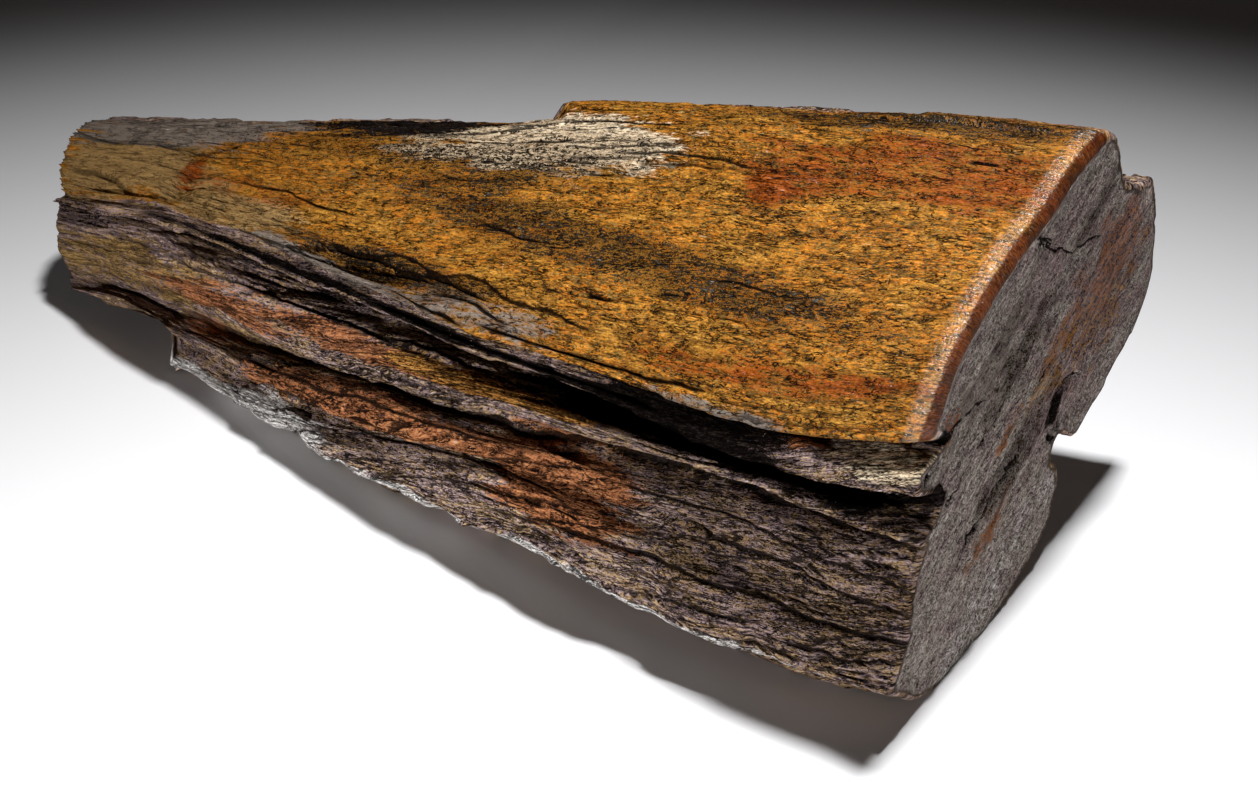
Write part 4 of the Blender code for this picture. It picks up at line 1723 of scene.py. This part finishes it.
@dataclass(frozen=True)
class StoneGaps:
    """The small cracks and hollows of the finish, too fine for the skin, and the painted shade that
    darkens them.

    Attributes:
        rift_shares: how much the streaks and fine streaks fray the named cracks.
        rift_edge: from where to where, beside one, its painted shade ends, in widths.
        hollow_shade_reach: from where to where a hollow grows dark with painted shade.
        sheet_shares: how much the streaks and fine streaks fray the sheets' edges.
        sheet_reach: how strong a sheet's edge must be to carry a painted shadow line.
        ledges: how many finer ledges there are to a sheet.
        ledge_reach, ledge_streaks: where those carry painted shadow lines.
        edge_from, edge_to: where in a sheet the painted shadow under its edge begins and ends.
        sets: the thin gaps along the grain, darkened as painted shade, and the half width of each
            set.
        set_gate: how strong their own patches must be.
        set_border: how much narrower and wider a gap is where it ends.
        long, long_reach: the long gaps of the sides, and how wide they are.
        long_patch, long_gate: where those open.
        long_sealed: how far they are closed on the sealed face.
        closed_at_end: how far all the gaps are closed on the big end.
    """

    rift_shares: Span = (1.5, 1.5)
    rift_edge: Span = (0.5, 1.1)
    hollow_shade_reach: Span = (0.2, 0.8)
    sheet_shares: Span = (0.6, 0.4)
    sheet_reach: Span = (0.2, 0.5)
    ledges: float = 2.7
    ledge_reach: Span = (0.3, 0.6)
    ledge_streaks: Span = (0.45, 0.55)
    edge_from: Span = (0.8, 0.88)
    edge_to: Span = (0.95, 1.0)
    sets: tuple[tuple[Streaks, float], ...] = (
        (Streaks(22, 3.0, 131.0), 0.012),
        (Streaks(9, 2.2, 151.0), 0.014),
        (Streaks(4.5, 1.4, 211.0), 0.018),
    )
    set_gate: Span = (0.5, 0.56)
    set_border: Span = (0.4, 1.6)
    long: Streaks = Streaks(36, 1.9, 181.0, warp=0.3)
    long_reach: Span = (0.006, 0.024)
    long_patch: Streaks = Streaks(16, 5, 190.0, 1.0, warp=0.0)
    long_gate: Span = (0.46, 0.54)
    long_sealed: float = 0.9
    closed_at_end: float = 0.75

    def darkness(self, desk: NodeDesk, streak: Reading, fine: Reading,
                 sealed: Reading) -> Reading:
        """Return the painted shade of every crack, hollow and sheet edge, 1 in the dark of it and 0
        beside it.

        Args:
            desk: the node tree's builder.
            streak, fine: the grain's middle and fine streaks.
            sealed: where the stone is sealed.

        Returns:
            The darkness.
        """
        offset = total([abs(desk.mask("rift")), *swings((streak, fine), self.rift_shares)])
        dark = (1.0 - offset.rise(*self.rift_edge)) * desk.mask("rift_near")
        dark = dark.greater(desk.mask("hollow_shade").rise(*self.hollow_shade_reach))
        level = total([desk.mask("sheet"), *swings((streak, fine), self.sheet_shares)])
        edge = desk.mask("sheet_edge")
        ledge_gate = edge.rise(*self.ledge_reach) * streak.rise(*self.ledge_streaks)
        for times, gate in ((1.0, edge.rise(*self.sheet_reach)), (self.ledges, ledge_gate)):
            part = (level * times).fraction()
            line = part.rise(*self.edge_from) * (1.0 - part.rise(*self.edge_to))
            dark = dark.greater(line * gate)
        open_share = 1.0 - desk.mask("big_end") * self.closed_at_end
        for streaks, width in self.sets:
            border = [width * share for share in self.set_border]
            gate = desk.fibres(streaks.patches()).rise(*self.set_gate)
            dark = dark.greater(self.gap(desk, streaks, border) * gate * open_share)
        gate = (desk.fibres(self.long_patch).rise(*self.long_gate)
                * (1.0 - sealed * self.long_sealed))
        return dark.greater(self.gap(desk, self.long, self.long_reach) * gate * open_share)

    @staticmethod
    def gap(desk: NodeDesk, streaks: Streaks, border: Sequence[float]) -> Reading:
        """Return thin lines where a streak pattern passes through its middle."""
        return 1.0 - abs(desk.fibres(streaks) - MIDDLE).rise(*border)


@dataclass(frozen=True)
class StoneFinish:
    """The finish of the petrified wood.

    Attributes:
        palette: its colours.
        small_gaps: its small cracks and hollows, and their painted shade.
        tone_stops: where a streak pattern shows a colour's three tones.
        broad, streak, fine, grit: the grain, from its broadest streaks to its finest.
        blotch: the blotches of its colour.
        lamina: the laminations of the split sides.
        tone_shares: how much the layers, streaks, fine streaks and grit tell in a tone.
        contrast: the contrast of the tones on the split sides.
        contrast_calm, contrast_sealed: how much less it is where calm, and where sealed.
        calm_darker: how much darker the tones are where calm.
        amber_shares, amber_reach: where amber takes the place of ochre.
        fleck, fleck_shares: the flecks, and how much they and the blotches tell in them.
        olive_reach, olive_cover: where the flecks are olive, and how strongly.
        earth_fine, earth_reach, earth_cover: the same for the earthy flecks of the sides.
        sealed_reach: from where to where the sides become the upper face.
        end_reach: from where to where they become a broken end.
        hide_reach, hide_cover: where the big end is hide-coloured, and how strongly.
        ragged_shares: how much the blotches, streaks and fine streaks fray a stain.
        speck_shares: how much the fine streaks, grit and streaks break up a stain.
        gate: how strong a stain must be to be seen in full.
        rim_shares: how much the blotches and fine streaks fray the dark glassy edge.
        rim_reach, rim_cover: where that edge is dark, and how strongly.
        glaze_shares: how much the blotches and grit tell in it.
        gaps_closed_calm: how far the gaps are closed where calm.
        gap_shade_cover: how dark the painted shade of the gaps is.
        painted_glint, painted_glint_reach: tiny glints of light, painted into the colour as
            highlights.
        painted_glint_patch, painted_glint_patch_reach: where they gather.
        painted_glint_cover: how bright they are.
        relief_shares: how much the layers, streaks, fine streaks and grit stand out.
        relief_roll, relief_calm: how much less they do on the glassy edge, and where calm.
        relief_end: how much more they do on the big end.
        relief_gap: how deep the gaps are.
        fibre_bump: height of all that in metres.
        pebble, pebble_fine, pebble_bump: the pebbling of the glassy edge, the fine
            streaks' part in it, and its height in metres.
        shine_reach, shine_roll: where the edge is glassy, and how much.
        shine_sealed: how glassy the sealed face is.
        shine_rim: how much duller the edge's dark part is.
        stone_roughness, glass_roughness: how dull the stone and its glassy edge are.
    """

    palette: Palette = Palette()
    small_gaps: StoneGaps = StoneGaps()
    tone_stops: tuple[float, float, float] = (0.4, 0.5, 0.61)
    broad: Streaks = Streaks(26, 5.0, 3.1, 3.0, 0.65)
    streak: Streaks = Streaks(8, 1.6, 11.7, 3.0, 0.65)
    fine: Streaks = Streaks(2.4, 0.8, 23.3, 3.0, 0.7)
    grit: Streaks = Streaks(0.9, 0.5, 57.3, 2.0)
    blotch: Streaks = Streaks(22, 10.0, 41.9, 4.0, 0.65)
    lamina: Streaks = Streaks(60, 1.3, 171.0, warp=0.2)
    tone_shares: tuple[float, ...] = (0.16, 0.2, 0.38, 0.26)
    contrast: float = 1.45
    contrast_calm: float = 0.75
    contrast_sealed: float = 0.35
    calm_darker: float = 0.012
    amber_shares: Span = (0.6, 0.4)
    amber_reach: Span = (0.44, 0.56)
    fleck: Streaks = Streaks(3.2, 1.0, 61.7, 3.0, 0.7)
    fleck_shares: Span = (0.65, 0.35)
    olive_reach: Span = (0.5, 0.57)
    olive_cover: float = 0.8
    earth_fine: float = 0.3
    earth_reach: Span = (0.63, 0.68)
    earth_cover: float = 0.85
    sealed_reach: Span = (0.2, 0.8)
    end_reach: Span = (0.1, 0.9)
    hide_reach: Span = (0.47, 0.62)
    hide_cover: float = 0.7
    ragged_shares: tuple[float, ...] = (1.0, 1.6, 2.0)
    speck_shares: tuple[float, ...] = (2.8, 1.6, 1.4)
    gate: Span = (0.0, 0.3)
    rim_shares: Span = (0.1, 0.1)
    rim_reach: Span = (0.92, 0.98)
    rim_cover: float = 0.95
    glaze_shares: Span = (0.5, 0.5)
    gaps_closed_calm: float = 0.4
    gap_shade_cover: float = 0.94
    painted_glint: Streaks = Streaks(0.45, 0.4, 71.1, 0.0, warp=0.0)
    painted_glint_reach: Span = (0.8, 0.86)
    painted_glint_patch: Streaks = Streaks(14, 9, 77.7, 1.0, warp=0.0)
    painted_glint_patch_reach: Span = (0.5, 0.65)
    painted_glint_cover: float = 0.6
    relief_shares: tuple[float, ...] = (0.15, 0.3, 0.45, 0.3)
    relief_roll: float = 0.8
    relief_calm: float = 0.35
    relief_end: float = 0.8
    relief_gap: float = 0.5
    fibre_bump: float = 0.0018
    pebble: Streaks = Streaks(0.9, 0.8, 91.3, 2.0, 0.5)
    pebble_fine: float = 0.5
    pebble_bump: float = 0.0008
    shine_reach: Span = (0.25, 0.6)
    shine_roll: float = 0.9
    shine_sealed: float = 0.1
    shine_rim: float = 0.8
    stone_roughness: float = 0.9
    glass_roughness: float = 0.25

    def tones(self, desk: NodeDesk, name: str, tone: Reading) -> Reading:
        """Show one of the palette's colours, with its tones over a pattern's usual range."""
        tones = getattr(self.palette, name)
        return desk.ramp(tone, [(place, linear(*rgb)) for place, rgb in zip(self.tone_stops, tones)])

    def material(self) -> bpy.types.Material:
        """Return the finished material."""
        desk = NodeDesk("petrified_wood")
        streak, fine = desk.fibres(self.streak), desk.fibres(self.fine)
        grit, blotch = desk.fibres(self.grit), desk.fibres(self.blotch)
        sealed, calm, roll = desk.mask("sealed"), desk.mask("calm"), desk.mask("roll")
        layers = sealed * desk.fibres(self.broad) + (1.0 - sealed) * desk.fibres(self.lamina)
        grain = (layers, streak, fine, grit)
        contrast = self.contrast - calm * self.contrast_calm - sealed * self.contrast_sealed
        tone = weighted(grain, self.tone_shares) - MIDDLE
        tone = tone * contrast + (MIDDLE - calm * self.calm_darker)
        colour = self.body_colour(desk, tone, blotch, fine)
        colour = self.end_colour(desk, colour, tone, blotch)
        borders = {Border.FRAYED: total(swings((blotch, streak, fine), self.ragged_shares)),
                   Border.SPECKED: total(swings((fine, grit, streak), self.speck_shares))}
        for stain, cover in COVERS.items():
            mask = desk.mask(stain.value)
            broken = mask * cover.strength + borders[cover.border] * cover.breaking
            share = broken.rise(*cover.reach)
            if cover.gated:
                share = share * mask.rise(*self.gate)
            colour = desk.mix(share, colour, self.tones(desk, stain.value, tone))
        rim = total([roll, *swings((blotch, fine), self.rim_shares)]).rise(*self.rim_reach)
        glaze = self.tones(desk, "glaze", weighted((blotch, grit), self.glaze_shares))
        colour = desk.mix(rim * self.rim_cover, colour, glaze)
        # Painted shade: cracks, hollows and the undersides of the sheets' edges are darkened towards
        # the crevice colour.
        gaps = (self.small_gaps.darkness(desk, streak, fine, sealed) * (1.0 - roll)
                * (1.0 - calm * self.gaps_closed_calm))
        colour = desk.mix(gaps * self.gap_shade_cover, colour, self.palette.crevice_shade)
        # Painted highlight: tiny white glints of light are mixed into the colour.
        painted_glints = (desk.fibres(self.painted_glint).rise(*self.painted_glint_reach)
                  * desk.fibres(self.painted_glint_patch).rise(*self.painted_glint_patch_reach))
        colour = desk.mix(painted_glints * (1.0 - calm) * self.painted_glint_cover, colour, self.palette.painted_glint)
        strength = (1.0 - roll * self.relief_roll - calm * self.relief_calm
                    + desk.mask("big_end") * self.relief_end)
        relief = weighted(grain, self.relief_shares) * strength - gaps * self.relief_gap
        stone = self.shader(desk, colour, relief, self.fibre_bump, 0.0, self.stone_roughness)
        pebbles = desk.fibres(self.pebble) + fine * self.pebble_fine
        glass = self.shader(desk, colour, pebbles, self.pebble_bump, 1.0, self.glass_roughness)
        shine = ((roll.rise(*self.shine_reach) * self.shine_roll + sealed * self.shine_sealed)
                 * (1.0 - gaps) * (1.0 - rim * self.shine_rim))
        mixed = desk.add("ShaderNodeMixShader", {}, {0: shine, 1: stone, 2: glass})
        desk.add("ShaderNodeOutputMaterial", {}, {"Surface": Reading(desk, mixed.outputs[0])})
        return desk.material

    @staticmethod
    def shader(desk: NodeDesk, colour: Reading, relief: Reading, height: float,
               specular: float, roughness: float) -> Reading:
        """Return a shader of the colour.

        Args:
            desk: the node tree's builder.
            colour: its colour.
            relief: the pattern of its fine relief, from 0 to 1.
            height: how high that is, in metres.
            specular: how strongly it reflects.
            roughness: how dull it is.

        Returns:
            The shader's output.
        """
        bump = desk.add("ShaderNodeBump", {}, {"Strength": 1.0, "Distance": height,
                                               "Height": relief})
        node = desk.add("ShaderNodeBsdfPrincipled", {}, {
            "Base Color": colour, "Roughness": roughness, "Specular IOR Level": specular,
            "Normal": Reading(desk, bump.outputs["Normal"])})
        return Reading(desk, node.outputs[0])

    def body_colour(self, desk: NodeDesk, tone: Reading, blotch: Reading,
                    fine: Reading) -> Reading:
        """Return the colours of the sealed upper face and of the split sides.

        Args:
            desk: the node tree's builder.
            tone: how light the grain is.
            blotch: the blotches.
            fine: the fine streaks.

        Returns:
            The colour.
        """
        flecks = weighted((desk.fibres(self.fleck), blotch), self.fleck_shares)
        amber_share = weighted((blotch, fine), self.amber_shares).rise(*self.amber_reach)
        upper = desk.mix(amber_share, self.tones(desk, "ochre", tone),
                         self.tones(desk, "amber", tone))
        upper = desk.mix(flecks.rise(*self.olive_reach) * self.olive_cover, upper,
                         self.tones(desk, "olive", tone))
        earth_share = (flecks + fine * self.earth_fine).rise(*self.earth_reach) * self.earth_cover
        sides = desk.mix(earth_share, self.tones(desk, "hide", tone),
                         self.tones(desk, "earth", tone))
        return desk.mix(desk.mask("sealed").rise(*self.sealed_reach), sides, upper)

    def end_colour(self, desk: NodeDesk, colour: Reading, tone: Reading,
                   blotch: Reading) -> Reading:
        """Lay the colours of the broken ends over the body's.

        Args:
            desk: the node tree's builder.
            colour: the body's colour.
            tone: how light the grain is.
            blotch: the blotches.

        Returns:
            The colour.
        """
        hide = self.tones(desk, "hide", tone)
        stained = desk.mix(blotch.rise(*self.hide_reach) * self.hide_cover,
                           self.tones(desk, "slate", tone), hide)
        colour = desk.mix(desk.mask("big_end").rise(*self.end_reach), colour, stained)
        return desk.mix(desk.mask("small_end").rise(*self.end_reach), colour, hide)


@dataclass(frozen=True)
class Table:
    """The pale table that the log lies on.

    Attributes:
        half_size: half its side in metres.
        colour: its colour.
        roughness: how dull it is.
    """

    half_size: float = 4.0
    colour: Colour = linear(237, 237, 239)
    roughness: float = 0.6

    def build(self) -> bpy.types.Object:
        """Return the table top."""
        corners = [(-1, -1), (1, -1), (1, 1), (-1, 1)]
        data = bpy.data.meshes.new("table")
        data.from_pydata([(x * self.half_size, y * self.half_size, 0) for x, y in corners],
                         [], [(0, 1, 2, 3)])
        table = bpy.data.objects.new("table", data)
        desk = NodeDesk("table_top")
        shader = desk.add("ShaderNodeBsdfPrincipled", {},
                          {"Base Color": self.colour, "Roughness": self.roughness})
        desk.add("ShaderNodeOutputMaterial", {}, {"Surface": Reading(desk, shader.outputs[0])})
        data.materials.append(desk.material)
        bpy.context.scene.collection.objects.link(table)
        return table


@dataclass(frozen=True)
class SoftLight:
    """A square soft light.

    Attributes:
        name: its name.
        place: where it hangs.
        aim: the point that it faces.
        size: its side.
        power: its power in watts.
        spread: the width of its cone in degrees.
    """

    name: str
    place: tuple[float, float, float]
    aim: tuple[float, float, float]
    size: float
    power: float
    spread: float

    def build(self) -> bpy.types.Object:
        """Hang the light."""
        data = bpy.data.lights.new(self.name, "AREA")
        data.size = self.size
        data.energy = self.power
        data.spread = math.radians(self.spread)
        light = bpy.data.objects.new(self.name, data)
        light.location = self.place
        facing = Vector(self.aim) - Vector(self.place)
        light.rotation_euler = facing.to_track_quat("-Z", "Y").to_euler()
        bpy.context.scene.collection.objects.link(light)
        return light


@dataclass(frozen=True)
class Studio:
    """The plain studio: lights, sky and camera.

    Attributes:
        azimuth: where the camera stands round the log.
        elevation: how steeply it looks down.
        distance: how far it stands from what it looks at.
        aim: what it looks at.
        lens: its focal length in mm.
        sensor: the width of its sensor in mm.
        nearest: the nearest that it sees.
        sky: how bright the sky is.
        sky_colour: its colour.
        lights: the lights.
    """

    azimuth: float = math.radians(34)
    elevation: float = math.radians(35)
    distance: float = 0.65
    aim: tuple[float, float, float] = (0.0998, -0.0722, 0.081)
    lens: float = 60.0
    sensor: float = 36.0
    nearest: float = 0.01
    sky: float = 0.014
    sky_colour: Colour = (1.0, 0.86, 0.78, 1.0)
    lights: tuple[SoftLight, ...] = (
        SoftLight("key", (0.18, 0.13, 1.3), (0.3, -0.4, 0.0), 0.12, 6.3, 72.0),
        SoftLight("side", (1.4, -0.3, 0.05), (0.15, 0.0, 0.08), 0.08, 0.19, 40.0),
        SoftLight("front", (-0.3, -1.4, 0.05), (0.0, -0.05, 0.05), 0.08, 0.78, 40.0),
    )

    def build(self) -> None:
        """Hang the lights, set the sky and place the camera."""
        for light in self.lights:
            light.build()
        world = bpy.data.worlds.new("studio_sky")
        world.use_nodes = True
        background = world.node_tree.nodes["Background"]
        background.inputs["Color"].default_value = self.sky_colour
        background.inputs["Strength"].default_value = self.sky
        bpy.context.scene.world = world
        bpy.context.scene.view_settings.view_transform = "Standard"
        back = Vector((math.sin(self.azimuth) * math.cos(self.elevation),
                       -math.cos(self.azimuth) * math.cos(self.elevation),
                       math.sin(self.elevation)))
        data = bpy.data.cameras.new("camera")
        data.lens = self.lens
        data.sensor_width = self.sensor
        data.clip_start = self.nearest
        camera = bpy.data.objects.new("camera", data)
        camera.location = Vector(self.aim) + back * self.distance
        camera.rotation_euler = (-back).to_track_quat("-Z", "Y").to_euler()
        bpy.context.scene.collection.objects.link(camera)
        bpy.context.scene.camera = camera


def main() -> None:
    """Load the frame, build the log and its studio, and note the log's triangle count."""
    logging.basicConfig(level=logging.INFO, format="%(name)s: %(message)s")
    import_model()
    log = PetrifiedLog().build()
    log.data.materials.append(StoneFinish().material())
    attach(log, BODY)
    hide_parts(NODE)
    log_messages.info("%s: %d triangles", log.name, len(log.data.polygons))
    table = Table().build()
    Studio().build()
    log_messages.info("table, lights and camera are in place")


if __name__ == "__main__":
    main()
